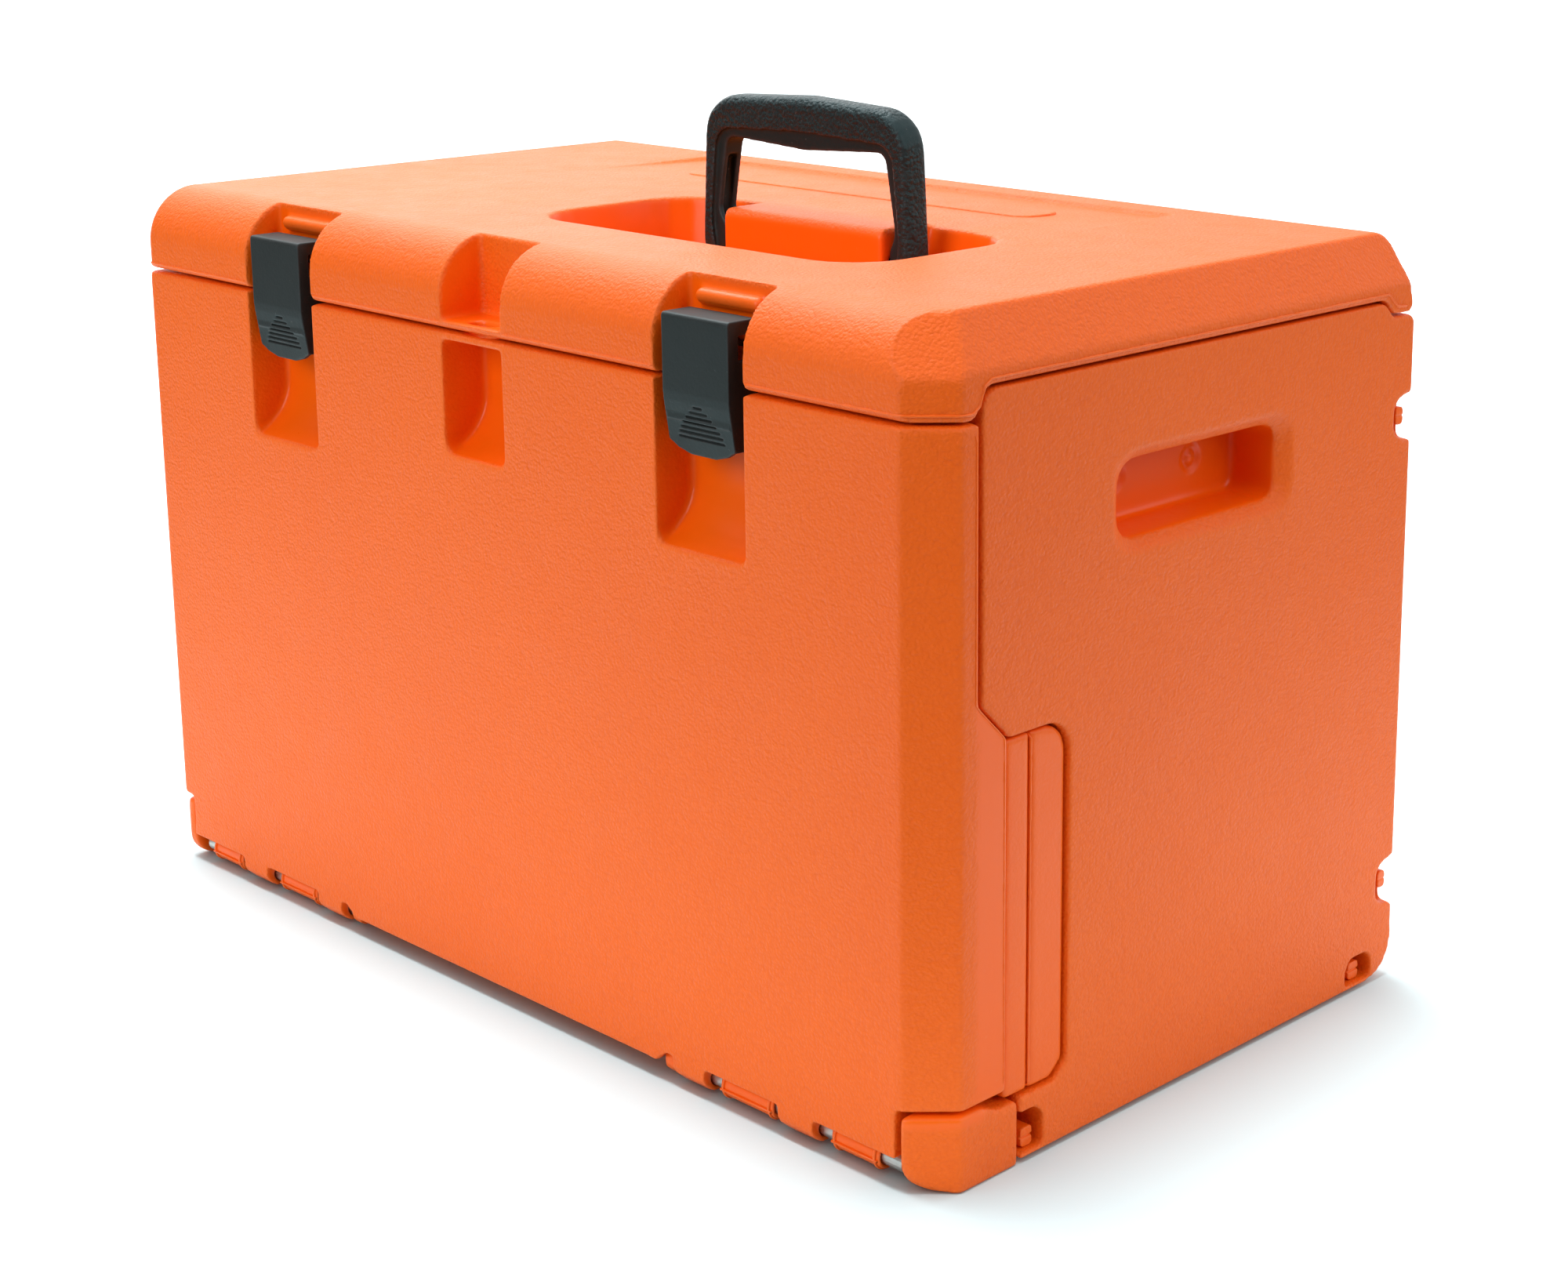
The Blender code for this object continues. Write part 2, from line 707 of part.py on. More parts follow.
def make_end(side, name, parts, tools):
    face = side * END_FACE[side]
    low, high = sorted((side * END_INNER[side], face))
    end = prism(name + "_end_panel", "X", end_outline(side), low, high, parts)
    bevel_floor = face - side * GRAB_BEVEL
    pocket_floor = face - side * GRAB_DEPTH
    centre = (GRAB_Y, GRAB_Z)
    grow = 1.0 + OVER / GRAB_BEVEL * (GRAB_RIM[0] - GRAB_MOUTH[0]) / GRAB_RIM[0]
    outer = (GRAB_RIM[0] * grow, GRAB_RIM[1] * grow)
    rim_face = face + side * OVER
    mouth_face = bevel_floor + side * 0.5
    rim = taper(
        name + "_grab_rim", "X", bevel_floor, GRAB_MOUTH, rim_face, outer, centre, GRAB_CORNER, tools
    )
    inside = GRAB_CORNER - 3
    mouth = taper(
        name + "_grab_pocket", "X", pocket_floor, GRAB_MOUTH, mouth_face, GRAB_MOUTH, centre, inside, tools
    )
    cut(end, rim, mouth)
    past = face + side * OVER
    floor = face - side * PEG_NOTCH_DEPTH
    lip_depth, lip_near, lip_far = PEG_NOTCH_LIP
    for index, (low_z, high_z) in enumerate(PEG_BACK_Z):
        notch_side = rounded(
            [
                (PEG_NOTCH_IN, low_z, PEG_NOTCH_RADIUS),
                (BACK + OVER, low_z - PEG_NOTCH_FLARE, 0.0),
                (BACK + OVER, high_z + PEG_NOTCH_FLARE, 0.0),
                (PEG_NOTCH_IN, high_z, PEG_NOTCH_RADIUS),
            ]
        )
        cut(end, prism(f"{name}_back_notch_{index}", "X", notch_side, *sorted((floor, past)), tools))
        lip_x = sorted((floor - side * OVER, face - side * lip_depth))
        lip_low = (lip_x[0], lip_near, low_z - PEG_NOTCH_FLARE - OVER)
        lip_high = (lip_x[1], lip_far, high_z + PEG_NOTCH_FLARE + OVER)
        join(end, box(f"{name}_back_notch_lip_{index}", lip_low, lip_high, tools))
    for index, (low_y, high_y, top) in enumerate(PEG_BOTTOM_NOTCH):
        left_radius = 0.0 if index == 0 else PEG_NOTCH_RADIUS
        notch_side = rounded(
            [
                (low_y, PEG_NOTCH_SILL, 0.0),
                (high_y, PEG_NOTCH_SILL, 0.0),
                (high_y, top, PEG_NOTCH_RADIUS),
                (low_y, top, left_radius),
            ]
        )
        label = f"{name}_bottom_notch_{index}"
        cut(end, prism(label, "X", notch_side, *sorted((floor, past)), tools))
    return end


def make_peg(name, side, y_range, z_range, parts, tools):
    """Locking peg seen in a notch: a rounded block with a slot across its outer end."""
    outer = side * (END_FACE[side] - PEG_DEPTH)
    inner = side * (END_FACE[side] - PEG_NOTCH_DEPTH + HINGE_PLAY)
    outline = rounded(rectangle(y_range, z_range, PEG_RADIUS), 3)
    peg = prism(name, "X", outline, *sorted((inner, outer)), parts)
    middle = sum(z_range) / 2
    depth, half = PEG_SLOT
    low, high = sorted((outer - side * depth, outer + side * OVER))
    slot_low = (low, y_range[0] - OVER, middle - half)
    slot_high = (high, y_range[1] + OVER, middle + half)
    cut(peg, box(name + "_slot", slot_low, slot_high, tools))
    return peg


def make_lid(parts, tools):
    bottom_front = SEAM_FRONT + SEAM_GAP / 2
    bottom_end = SEAM_END + SEAM_GAP / 2
    bottom_back = SEAM_BACK + SEAM_GAP / 2
    side = rounded(
        [
            (FRONT, bottom_front, 3.0),
            (STEP_LOW, bottom_front, 3.0),
            (STEP_HIGH, bottom_end, 4.0),
            (BACK_STEP_HIGH, bottom_end, 3.0),
            (BACK_STEP_LOW, bottom_back, 2.5),
            (LID_BACK, bottom_back, 3.0),
            (LID_BACK_TOP, LID_TOP, LID_BACK_RADIUS),
            (FRONT, LID_TOP, LID_FRONT_RADIUS),
        ],
        6,
    )
    right = END_FACE[1]
    lid = prism("lid", "X", side, LID_LEFT, right, parts)
    slope = rounded(
        [
            (LID_LEFT - OVER, bottom_front - OVER, 0.0),
            (right + OVER, bottom_front - OVER, 0.0),
            (right, LID_SLOPE_Z, 0.0),
            (LID_SLOPE_X, LID_TOP, 0.0),
            (LID_SLOPE_X, LID_TOP + OVER, 0.0),
            (LID_LEFT + LID_LEFT_RADIUS + OVER, LID_TOP + OVER, 0.0),
            (LID_LEFT + LID_LEFT_RADIUS + OVER, LID_TOP, 0.0),
            (LID_LEFT, LID_TOP, LID_LEFT_RADIUS),
        ],
        6,
    )
    keep(lid, prism("lid_end_slopes", "Y", slope, FRONT - OVER, BACK + OVER, tools))
    cut(lid, corner_cutter("lid_corner", tools))
    inner_low = (LID_INNER_X[0], LID_INNER_Y[0], LID_INNER_Z)
    inner_high = (LID_INNER_X[1], LID_INNER_Y[1], bottom_end + 1)
    join(lid, box("lid_inner_wall", inner_low, inner_high, tools))
    centre = (sum(SCOOP_X) / 2, sum(SCOOP_Y) / 2)
    mouth = (SCOOP_X[1] - SCOOP_X[0], SCOOP_Y[1] - SCOOP_Y[0])
    floor = (mouth[0] - 2 * SCOOP_DRAFT, mouth[1] - 2 * SCOOP_DRAFT)
    scoop = taper("lid_scoop", "Z", SCOOP_FLOOR, floor, LID_TOP, mouth, centre, SCOOP_CORNER, tools)
    above = (LID_TOP - 0.5, LID_TOP + OVER)
    scoop_top = taper("lid_scoop_top", "Z", above[0], mouth, above[1], mouth, centre, SCOOP_CORNER, tools)
    cut(lid, scoop, scoop_top)
    saddle_side = rounded(
        [
            (SADDLE_FRONT - SADDLE_FLARE, SCOOP_FLOOR - 1, 0.0),
            (SADDLE_BACK, SCOOP_FLOOR - 1, 0.0),
            (SADDLE_BACK, LID_TOP - 0.2, 0.0),
            (SADDLE_BACK - SADDLE_SLOPE, SADDLE_TOP, 3.0),
            (SADDLE_FRONT, SADDLE_TOP, 3.5),
            (SADDLE_FRONT, SCOOP_FLOOR + 4, 3.0),
        ]
    )
    low = HANDLE_X - SADDLE_HALF_LENGTH
    high = HANDLE_X + SADDLE_HALF_LENGTH
    join(lid, prism("saddle", "X", saddle_side, low, high, tools))
    for sign, name in ((1, "right"), (-1, "left")):
        start = HANDLE_X + sign * (SADDLE_HALF_LENGTH - 8)
        end = HANDLE_X + sign * (SADDLE_HALF_LENGTH + OVER)
        cut(lid, cylinder("stub_bore_" + name, STUB_BORE, start, end, 0.0, HANDLE_PIVOT_Z, tools))
    label_side = [
        (LABEL_Y[0], LID_TOP),
        (LABEL_Y[1], LID_TOP - LABEL_DEPTH),
        (LABEL_Y[1], LID_TOP + OVER),
        (LABEL_Y[0], LID_TOP + OVER),
    ]
    cut(lid, prism("label_field", "X", label_side, -LABEL_HALF_LENGTH, LABEL_HALF_LENGTH, tools))
    half = LATCH_RECESS_WIDTH / 2
    above = LID_TOP + OVER
    for sign, name in ((1, "right"), (-1, "left")):
        middle = sign * LATCH_X
        recess_low = (middle - half, FRONT - OVER, bottom_front - OVER)
        recess_high = (middle + half, LATCH_RECESS_BACK, above)
        cut(lid, box("lid_latch_recess_" + name, recess_low, recess_high, tools))
        ends = (middle - RIDGE_LENGTH / 2, middle + RIDGE_LENGTH / 2)
        ridge_y = LATCH_RECESS_BACK - 0.6
        ridge = cylinder("ridge_" + name, RIDGE_RADIUS, *ends, ridge_y, RIDGE_Z, tools, 16)
        ends = (middle - half - OVER, middle + half + OVER)
        pivot = cylinder("pivot_bar_" + name, PIVOT_RADIUS, *ends, PIVOT_Y, PIVOT_Z, tools, 16)
        join(lid, ridge, pivot)
    half = LOCK_RECESS_WIDTH / 2
    flange_top = bottom_front + LOCK_FLANGE
    cut(
        lid,
        box("lid_lock_recess", (-half, FRONT - OVER, flange_top), (half, LOCK_RECESS_BACK, above), tools),
        lock_hole("lid_lock_hole", bottom_front - OVER, flange_top + OVER, tools),
    )
    hinge_knuckles("lid_hinge", lid, 1, tools)
    return lid


def corner_cutter(name, tools):
    """Wedge that cuts the lid's right front corner, upright below and leaning in above."""
    tangent = Vector((CHAMFER_X, CHAMFER_Y, 0.0)).normalized()
    outward = Vector((CHAMFER_Y, -CHAMFER_X, 0.0)).normalized()
    corner = Vector((END_FACE[1] - CHAMFER_X / 2, FRONT + CHAMFER_Y / 2, 0.0))
    top_corner = Vector((LID_SLOPE_X, FRONT + LID_FRONT_RADIUS, 0.0))
    lean = (corner - top_corner).dot(outward)
    past = 1.3
    top = LID_LEAN_Z + (LID_TOP - LID_LEAN_Z) * past
    bottom = SEAM_FRONT - OVER
    reach = 40.0
    outline = [(0.0, bottom), (reach, bottom), (reach, top), (-lean * past, top), (0.0, LID_LEAN_Z)]
    wedge = prism(name, "Y", outline, -reach, reach, tools)
    basis = Matrix((outward, tangent, (0, 0, 1))).transposed().to_4x4()
    wedge.data.transform(Matrix.Translation(corner * MM) @ basis)
    return wedge


def handle_half(side, foot):
    """One half of the handle's front view, from the middle of the grip's underside round to its top."""
    middle = HANDLE_MIDDLE
    inside = HANDLE_X + side * (SADDLE_HALF_LENGTH + 1.0)
    outside = middle + side * HANDLE_HALF_WIDTH
    return [
        (middle + side * (HANDLE_HALF_TOP - HANDLE_LEG - 2.0), GRIP_UNDER, 6.0),
        (outside - side * HANDLE_LEG, HANDLE_PIVOT_Z + LEG_KNEE_Z, 4.0),
        (inside, HANDLE_PIVOT_Z + LEG_FOOT_Z, 2.0),
        (inside, foot, 2.0),
        (outside, foot, 5.0),
        (outside, HANDLE_PIVOT_Z, 0.0),
        (middle + side * HANDLE_HALF_TOP, HANDLE_TOP, HANDLE_SHOULDER),
    ]


def make_handle(parts, tools):
    foot = HANDLE_PIVOT_Z - FOOT_RADIUS
    corners = [(HANDLE_MIDDLE, GRIP_SWELL, 0.0), *handle_half(1, foot), *reversed(handle_half(-1, foot))]
    outline = rounded(corners, 5)
    handle = prism("carry_handle", "Y", outline, -HANDLE_DEPTH / 2, HANDLE_DEPTH / 2, parts)
    feet_side = rounded(
        [
            (-HANDLE_DEPTH / 2 - OVER, HANDLE_TOP + OVER, 0.0),
            (-HANDLE_DEPTH / 2 - OVER, foot, FOOT_RADIUS + OVER),
            (HANDLE_DEPTH / 2 + OVER, foot, FOOT_RADIUS + OVER),
            (HANDLE_DEPTH / 2 + OVER, HANDLE_TOP + OVER, 0.0),
        ]
    )
    reach = HANDLE_HALF_WIDTH + OVER
    ends = (HANDLE_MIDDLE - reach, HANDLE_MIDDLE + reach)
    keep(handle, prism("handle_feet", "X", feet_side, *ends, tools))
    for sign, name in ((1, "right"), (-1, "left")):
        start = HANDLE_X + sign * (SADDLE_HALF_LENGTH - 6)
        end = HANDLE_X + sign * (SADDLE_HALF_LENGTH + 4)
        join(handle, cylinder("stub_" + name, STUB_RADIUS, start, end, 0.0, HANDLE_PIVOT_Z, tools))
    return handle


def make_latch(name, middle, parts, tools):
    """Snap latch: front plate, two side walls, top flange and a hub round the lid's pivot bar."""
    half = LATCH_WIDTH / 2
    wall = LATCH_WALL
    lip = LATCH_FACE + LATCH_LIP_IN
    plate_side = rounded(
        [
            (LATCH_FACE, LATCH_TOP, 1.5),
            (LATCH_FACE, LATCH_BEND_Z, LATCH_BEND),
            (lip, LATCH_BOTTOM, 0.5),
            (lip + wall, LATCH_BOTTOM, 0.5),
            (LATCH_FACE + wall, LATCH_BEND_Z, LATCH_BEND - OVER),
            (LATCH_FACE + wall, LATCH_TOP - wall, 0.0),
            (LATCH_BACK, LATCH_TOP - wall, 0.0),
            (LATCH_BACK, LATCH_TOP, 0.8),
        ]
    )
    latch = prism(name, "X", plate_side, middle - half, middle + half, parts)
    lip_outline = rounded(
        [
            (middle - half - 1, LATCH_TOP + OVER, 0.0),
            (middle - half - 1, LATCH_SIDE_BOTTOM + 1.0, 0.0),
            (middle - LATCH_LIP_HALF, LATCH_BOTTOM, LATCH_LIP_RADIUS),
            (middle + LATCH_LIP_HALF, LATCH_BOTTOM, LATCH_LIP_RADIUS),
            (middle + half + 1, LATCH_SIDE_BOTTOM + 1.0, 0.0),
            (middle + half + 1, LATCH_TOP + OVER, 0.0),
        ]
    )
    keep(latch, prism(name + "_outline", "Y", lip_outline, LATCH_FACE - OVER, LATCH_BACK + OVER, tools))
    flange_side = rounded(
        [
            (LATCH_FACE + LATCH_FLANGE_Y[0], LATCH_TOP - 1.0, 0.0),
            (LATCH_FACE + LATCH_FLANGE_Y[0], LATCH_BEND_Z, 0.0),
            (LATCH_FACE + LATCH_FLANGE_Y[1], LATCH_SIDE_BOTTOM, 0.0),
            (LATCH_FACE + LATCH_FLANGE_Y[2], LATCH_SIDE_BOTTOM, 2.0),
            (LATCH_BACK, LATCH_FLANGE_KNEE, 2.0),
            (LATCH_BACK, LATCH_TOP - 1.0, 0.0),
        ],
        3,
    )
    window_y = (LATCH_FACE + LATCH_WINDOW_Y[0], PIVOT_Y - LATCH_WINDOW_Y[1])
    window_z = (PIVOT_Z + LATCH_WINDOW_Z[0], PIVOT_Z + LATCH_WINDOW_Z[1])
    for sign in (1, -1):
        low, high = sorted((middle + sign * half, middle + sign * (half - wall)))
        flange = prism(f"{name}_flange_{sign}", "X", flange_side, low, high, tools)
        window_low = (low - 1, window_y[0], window_z[0])
        window_high = (high + 1, window_y[1], window_z[1])
        cut(flange, box(f"{name}_window_{sign}", window_low, window_high, tools))
        join(latch, flange)
    hub_half = PIVOT_HUB_WIDTH / 2
    hub = cylinder(name + "_hub", PIVOT_HUB, middle - hub_half, middle + hub_half, PIVOT_Y, PIVOT_Z, tools)
    web_low = (middle - hub_half, PIVOT_Y - OVER, PIVOT_Z + PIVOT_HUB - 1.3)
    web_high = (middle + hub_half, PIVOT_Y + OVER, LATCH_TOP - wall / 2)
    hook_low = (middle - half + 1, LATCH_FACE + 1, LATCH_HOOK_Z[0])
    hook_high = (middle + half - 1, PIVOT_Y, LATCH_HOOK_Z[1])
    web = box(name + "_web", web_low, web_high, tools)
    join(latch, web, hub, box(name + "_hook", hook_low, hook_high, tools))
    ends = (middle - half - OVER, middle + half + OVER)
    bore = cylinder(name + "_bore", PIVOT_BORE, *ends, PIVOT_Y, PIVOT_Z, tools, 16)
    mouth_low = (ends[0], PIVOT_Y, PIVOT_Z - 2.0)
    mouth_high = (ends[1], LATCH_BACK + OVER, PIVOT_Z + 2.0)
    cut(latch, bore, box(name + "_mouth", mouth_low, mouth_high, tools))
    return latch


def make_scabbard(parts, tools):
    """Two moulded halves of the guide-bar cover, closed at the head and open at the tail."""
    outline = rounded(
        [
            (SCABBARD_FRONT, SCABBARD_BOTTOM, 1.5),
            (SCABBARD_BACK - 6.5, SCABBARD_BOTTOM, 1.5),
            (SCABBARD_BACK, SCABBARD_BOTTOM + 6.0, 3.0),
            (SCABBARD_BACK, SCABBARD_TOP, 11.0),
            (SCABBARD_FRONT, SCABBARD_TOP, 1.5),
        ]
    )
    past = SCABBARD_TAIL - OVER
    cavity_low = (past, SCABBARD_FRONT + SCABBARD_WALL, SCABBARD_BOTTOM + SCABBARD_WALL + 2)
    cavity_high = (
        SCABBARD_HEAD - 2 * SCABBARD_WALL,
        SCABBARD_BACK - SCABBARD_WALL,
        SCABBARD_TOP - SCABBARD_WALL - 3,
    )
    halves = []
    spans = (
        ("scabbard_front_half", SCABBARD_FRONT - OVER, SCABBARD_PARTING - FIT / 2),
        ("scabbard_rear_half", SCABBARD_PARTING + FIT / 2, SCABBARD_BACK + OVER),
    )
    for name, near, far in spans:
        half = prism(name, "X", outline, SCABBARD_TAIL, SCABBARD_HEAD, parts)
        side_high = (SCABBARD_HEAD + OVER, far, SCABBARD_TOP + OVER)
        keep(half, box(name + "_side", (past, near, 0.0), side_high, tools))
        cut(half, box(name + "_cavity", cavity_low, cavity_high, tools))
        halves.append(half)
    return halves


def build():
    clear_scene()
    parts = make_collection("tool_case")
    tools = make_collection("cutters")
    tools.hide_render = True
    orange = make_material("orange_plastic", ORANGE, 0.5, 0.0)
    black = make_material("black_plastic", BLACK, 0.45, 0.0)
    steel = make_material("steel", STEEL, 0.3, 1.0)

    finish(make_base(parts, tools), orange)
    finish(make_front(parts, tools), orange)
    finish(make_back(parts, tools), orange)
    for side, name in ((1, "right"), (-1, "left")):
        finish(make_end(side, name, parts, tools), orange)
        for index, z_range in enumerate(PEG_BACK_Z):
            middle = sum(z_range) / 2
            span = (middle - PEG_BACK_HALF, middle + PEG_BACK_HALF)
            label = f"peg_{name}_back_{index + 1}"
            finish(make_peg(label, side, PEG_BACK_Y, span, parts, tools), orange)
        for index, span in enumerate(PEG_BOTTOM_Y):
            label = f"peg_{name}_bottom_{index + 1}"
            finish(make_peg(label, side, span, PEG_BOTTOM_Z, parts, tools), orange)
        for wall, sign in (("front", -1), ("rear", 1)):
            ends = (side * ROD_START, side * ROD_END[wall][side])
            rod = cylinder(f"{wall}_rod_{name}", ROD_RADIUS, *ends, sign * ROD_Y, ROD_Z, parts)
            finish(rod, steel, True)
        ends = (side * HINGE_START, side * (HINGE_START + HINGE_KNUCKLES * HINGE_PITCH))
        hinge_rod = cylinder("lid_hinge_rod_" + name, HINGE_ROD_RADIUS, *ends, HINGE_Y, HINGE_Z, parts, 16)
        finish(hinge_rod, steel, True)
        latch = finish(make_latch("latch_" + name, side * LATCH_X, parts, tools), black)
        set_origin(latch, side * LATCH_X, PIVOT_Y, PIVOT_Z)
    for half in make_scabbard(parts, tools):
        finish(half, orange)
    lid = finish(make_lid(parts, tools), orange)
    set_origin(lid, 0.0, HINGE_Y, HINGE_Z)
    handle = finish(make_handle(parts, tools), black)
    set_origin(handle, HANDLE_X, 0.0, HANDLE_PIVOT_Z)


build()
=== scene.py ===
"""Looks of the tool case: soft moulded edges, pebble grain, parting lines, detailed latches and handle.

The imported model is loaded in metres. Lengths below are in millimetres, and are multiplied by MM where they
meet the model.
"""

import math

import bmesh
import bpy
import numpy as np
from mathutils import Matrix, Vector, noise
from mathutils.bvhtree import BVHTree


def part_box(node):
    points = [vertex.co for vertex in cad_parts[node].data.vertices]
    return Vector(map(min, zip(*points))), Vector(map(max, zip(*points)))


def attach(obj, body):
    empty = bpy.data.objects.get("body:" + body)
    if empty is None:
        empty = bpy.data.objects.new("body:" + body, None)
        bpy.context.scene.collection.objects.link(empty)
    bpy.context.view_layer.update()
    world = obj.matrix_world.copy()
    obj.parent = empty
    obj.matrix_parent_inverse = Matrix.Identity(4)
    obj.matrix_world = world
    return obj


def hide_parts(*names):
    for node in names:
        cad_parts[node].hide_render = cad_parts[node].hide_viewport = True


MM = 0.001

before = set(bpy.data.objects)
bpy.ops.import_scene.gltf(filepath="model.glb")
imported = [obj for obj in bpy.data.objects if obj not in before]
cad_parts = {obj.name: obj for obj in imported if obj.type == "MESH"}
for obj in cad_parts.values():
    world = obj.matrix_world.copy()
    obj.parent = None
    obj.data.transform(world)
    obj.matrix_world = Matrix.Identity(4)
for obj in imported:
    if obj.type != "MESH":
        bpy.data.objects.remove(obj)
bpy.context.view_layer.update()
COARSE = 1.0

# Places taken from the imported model, in millimetres
LID_LOW, LID_HIGH = (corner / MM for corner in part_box("lid"))
FRONT_LOW, FRONT_HIGH = (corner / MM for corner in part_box("front_panel"))
HANDLE_LOW, HANDLE_HIGH = (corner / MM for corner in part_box("carry_handle"))
END_FACE = {1: FRONT_HIGH.x, -1: FRONT_LOW.x}
LID_END = {1: LID_HIGH.x, -1: LID_LOW.x}
FRONT = FRONT_LOW.y
LID_TOP = 328.1
LID_BOTTOM = LID_LOW.z
LATCH_X = 139.0
LATCH_RECESS_HALF = 25.0
LATCH_RECESS_FOOT = 224.0
LOCK_RECESS_HALF = 20.0
LOCK_RECESS_FOOT = 238.0
RECESS_CORNER = 6.5
LID_ROUND = 25.0
LID_END_ROUND = 4.7
CHAMFER_Y = 15.3
POCKET_DEPTH = 26.0
KNUCKLE_Y = 136.0
KNUCKLE_Z = 7.5
REAR_LEFT_KNUCKLE = -217.0

# The handle: middles of its grip and of its pivots along X, its pivots' height, its legs' inner faces
HANDLE_MIDDLE = 49.6
HANDLE_X = 51.0
HANDLE_PIVOT_Z = 314.0
LEG_INSIDE = 49.6
HANDLE_TOP = HANDLE_HIGH.z
HANDLE_FOOT = HANDLE_LOW.z
HANDLE_HALF_WIDTH = (HANDLE_HIGH.x - HANDLE_LOW.x) / 2
HANDLE_HALF_DEPTH = (HANDLE_HIGH.y - HANDLE_LOW.y) / 2


# ---------------------------------------------------------------- mesh tools


def rounded(corners, steps=6):
    """Outline from (u, v, radius) corners, each turned into an arc."""
    outline = []
    count = len(corners)
    for index, (u, v, radius) in enumerate(corners):
        here = Vector((u, v))
        if radius <= 0:
            outline.append((u, v))
            continue
        to_before = (Vector(corners[index - 1][:2]) - here).normalized()
        to_after = (Vector(corners[(index + 1) % count][:2]) - here).normalized()
        half = to_before.angle(to_after) / 2
        centre = here + (to_before + to_after).normalized() * (radius / math.sin(half))
        first = here + to_before * (radius / math.tan(half)) - centre
        last = here + to_after * (radius / math.tan(half)) - centre
        turn = math.atan2(first.x * last.y - first.y * last.x, first.dot(last))
        segments = max(1, round(abs(turn) / (math.pi / 2) * steps))
        for step in range(segments + 1):
            point = centre + Matrix.Rotation(turn * step / segments, 2) @ first
            outline.append((point.x, point.y))
    return outline


def link(name, mesh):
    """A new object in the scene."""
    item = bpy.data.objects.new(name, mesh)
    bpy.context.scene.collection.objects.link(item)
    return item


def mesh_from(name, shape):
    """Turns a bmesh into a mesh and frees it."""
    mesh = bpy.data.meshes.new(name)
    shape.to_mesh(mesh)
    shape.free()
    return mesh


def plate(name, axis, outline, low, high):
    """Closed solid: an outline in the plane across the axis, between low and high along it."""
    place = {
        "X": lambda u, v, w: (w, u, v),
        "Y": lambda u, v, w: (u, w, v),
        "Z": lambda u, v, w: (u, v, w),
    }[axis]
    shape = bmesh.new()
    rings = []
    for level in (low, high):
        rings.append([shape.verts.new(Vector(place(u, v, level)) * MM) for u, v in outline])
    for ring in rings:
        shape.faces.new(ring)
    count = len(outline)
    for index in range(count):
        after = (index + 1) % count
        shape.faces.new((rings[0][index], rings[0][after], rings[1][after], rings[1][index]))
    bmesh.ops.recalc_face_normals(shape, faces=shape.faces)
    return link(name, mesh_from(name, shape))


def ring_solid(name, profile, place, segments=40):
    """Turned solid: (radius, height) profile spun round the local Z axis, then placed by a matrix."""
    shape = bmesh.new()
    rings = []
    for radius, height in profile:
        if radius == 0:
            rings.append([shape.verts.new((0, 0, height * MM))])
            continue
        ring = []
        for index in range(segments):
            angle = 2 * math.pi * index / segments
            across = (radius * MM * math.cos(angle), radius * MM * math.sin(angle))
            ring.append(shape.verts.new((*across, height * MM)))
        rings.append(ring)
    for before, after in zip(rings, rings[1:]):
        for index in range(segments):
            corners = []
            for ring, step in ((before, 0), (before, 1), (after, 1), (after, 0)):
                vert = ring[(index + step) % len(ring)]
                if vert not in corners:
                    corners.append(vert)
            if len(corners) > 2:
                shape.faces.new(corners)
    bmesh.ops.recalc_face_normals(shape, faces=shape.faces)
    bmesh.ops.transform(shape, matrix=place, verts=shape.verts)
    return link(name, mesh_from(name, shape))


def capsule(name, start, end, radius, segments=24):
    """Round bar with ball ends between two points in millimetres."""
    start = Vector(start)
    along = Vector(end) - start
    quarter = [math.pi / 2 * step / 8 for step in range(9)]
    profile = [(radius * math.sin(angle), -radius * math.cos(angle)) for angle in quarter]
    profile += [(radius * math.cos(angle), along.length + radius * math.sin(angle)) for angle in quarter]
    profile[0] = (0, -radius)
    profile[-1] = (0, along.length + radius)
    turn = along.to_track_quat("Z", "X").to_matrix().to_4x4()
    return ring_solid(name, profile, Matrix.Translation(start * MM) @ turn, segments)


def welded_copy(name, node):
    """A new object with a CAD node's shape, its doubled corner points joined."""
    shape = bmesh.new()
    shape.from_mesh(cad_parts[node].data)
    bmesh.ops.remove_doubles(shape, verts=shape.verts, dist=1e-6)
    return link(name, mesh_from(name, shape))


def evaluated_mesh(item):
    """Applies an object's modifiers."""
    bpy.context.view_layer.update()
    evaluated = item.evaluated_get(bpy.context.evaluated_depsgraph_get())
    mesh = bpy.data.meshes.new_from_object(evaluated)
    item.modifiers.clear()
    item.data = mesh
    return item


def combine(item, operation, tools):
    """Booleans with tools, which are removed afterwards."""
    for tool in tools:
        modifier = item.modifiers.new(tool.name, "BOOLEAN")
        modifier.operation = operation
        modifier.solver = "EXACT"
        modifier.object = tool
    evaluated_mesh(item)
    for tool in tools:
        bpy.data.objects.remove(tool)
    return item


def coordinates(mesh):
    """A mesh's points in millimetres, one per row."""
    points = np.empty(len(mesh.vertices) * 3)
    mesh.vertices.foreach_get("co", points)
    return points.reshape(-1, 3) / MM


def vertex_normals(mesh):
    """A mesh's normals, one per point."""
    normals = np.empty(len(mesh.vertices) * 3)
    mesh.vertices.foreach_get("normal", normals)
    return normals.reshape(-1, 3)


def edge_pairs(mesh):
    """The two point numbers of every edge."""
    pairs = np.empty(len(mesh.edges) * 2, dtype=np.int32)
    mesh.edges.foreach_get("vertices", pairs)
    return pairs.reshape(-1, 2)


def gathered(values, pairs, count):
    """Sum over each vertex's neighbours."""
    first, second = pairs[:, 0], pairs[:, 1]
    return np.bincount(first, values[second], count) + np.bincount(second, values[first], count)


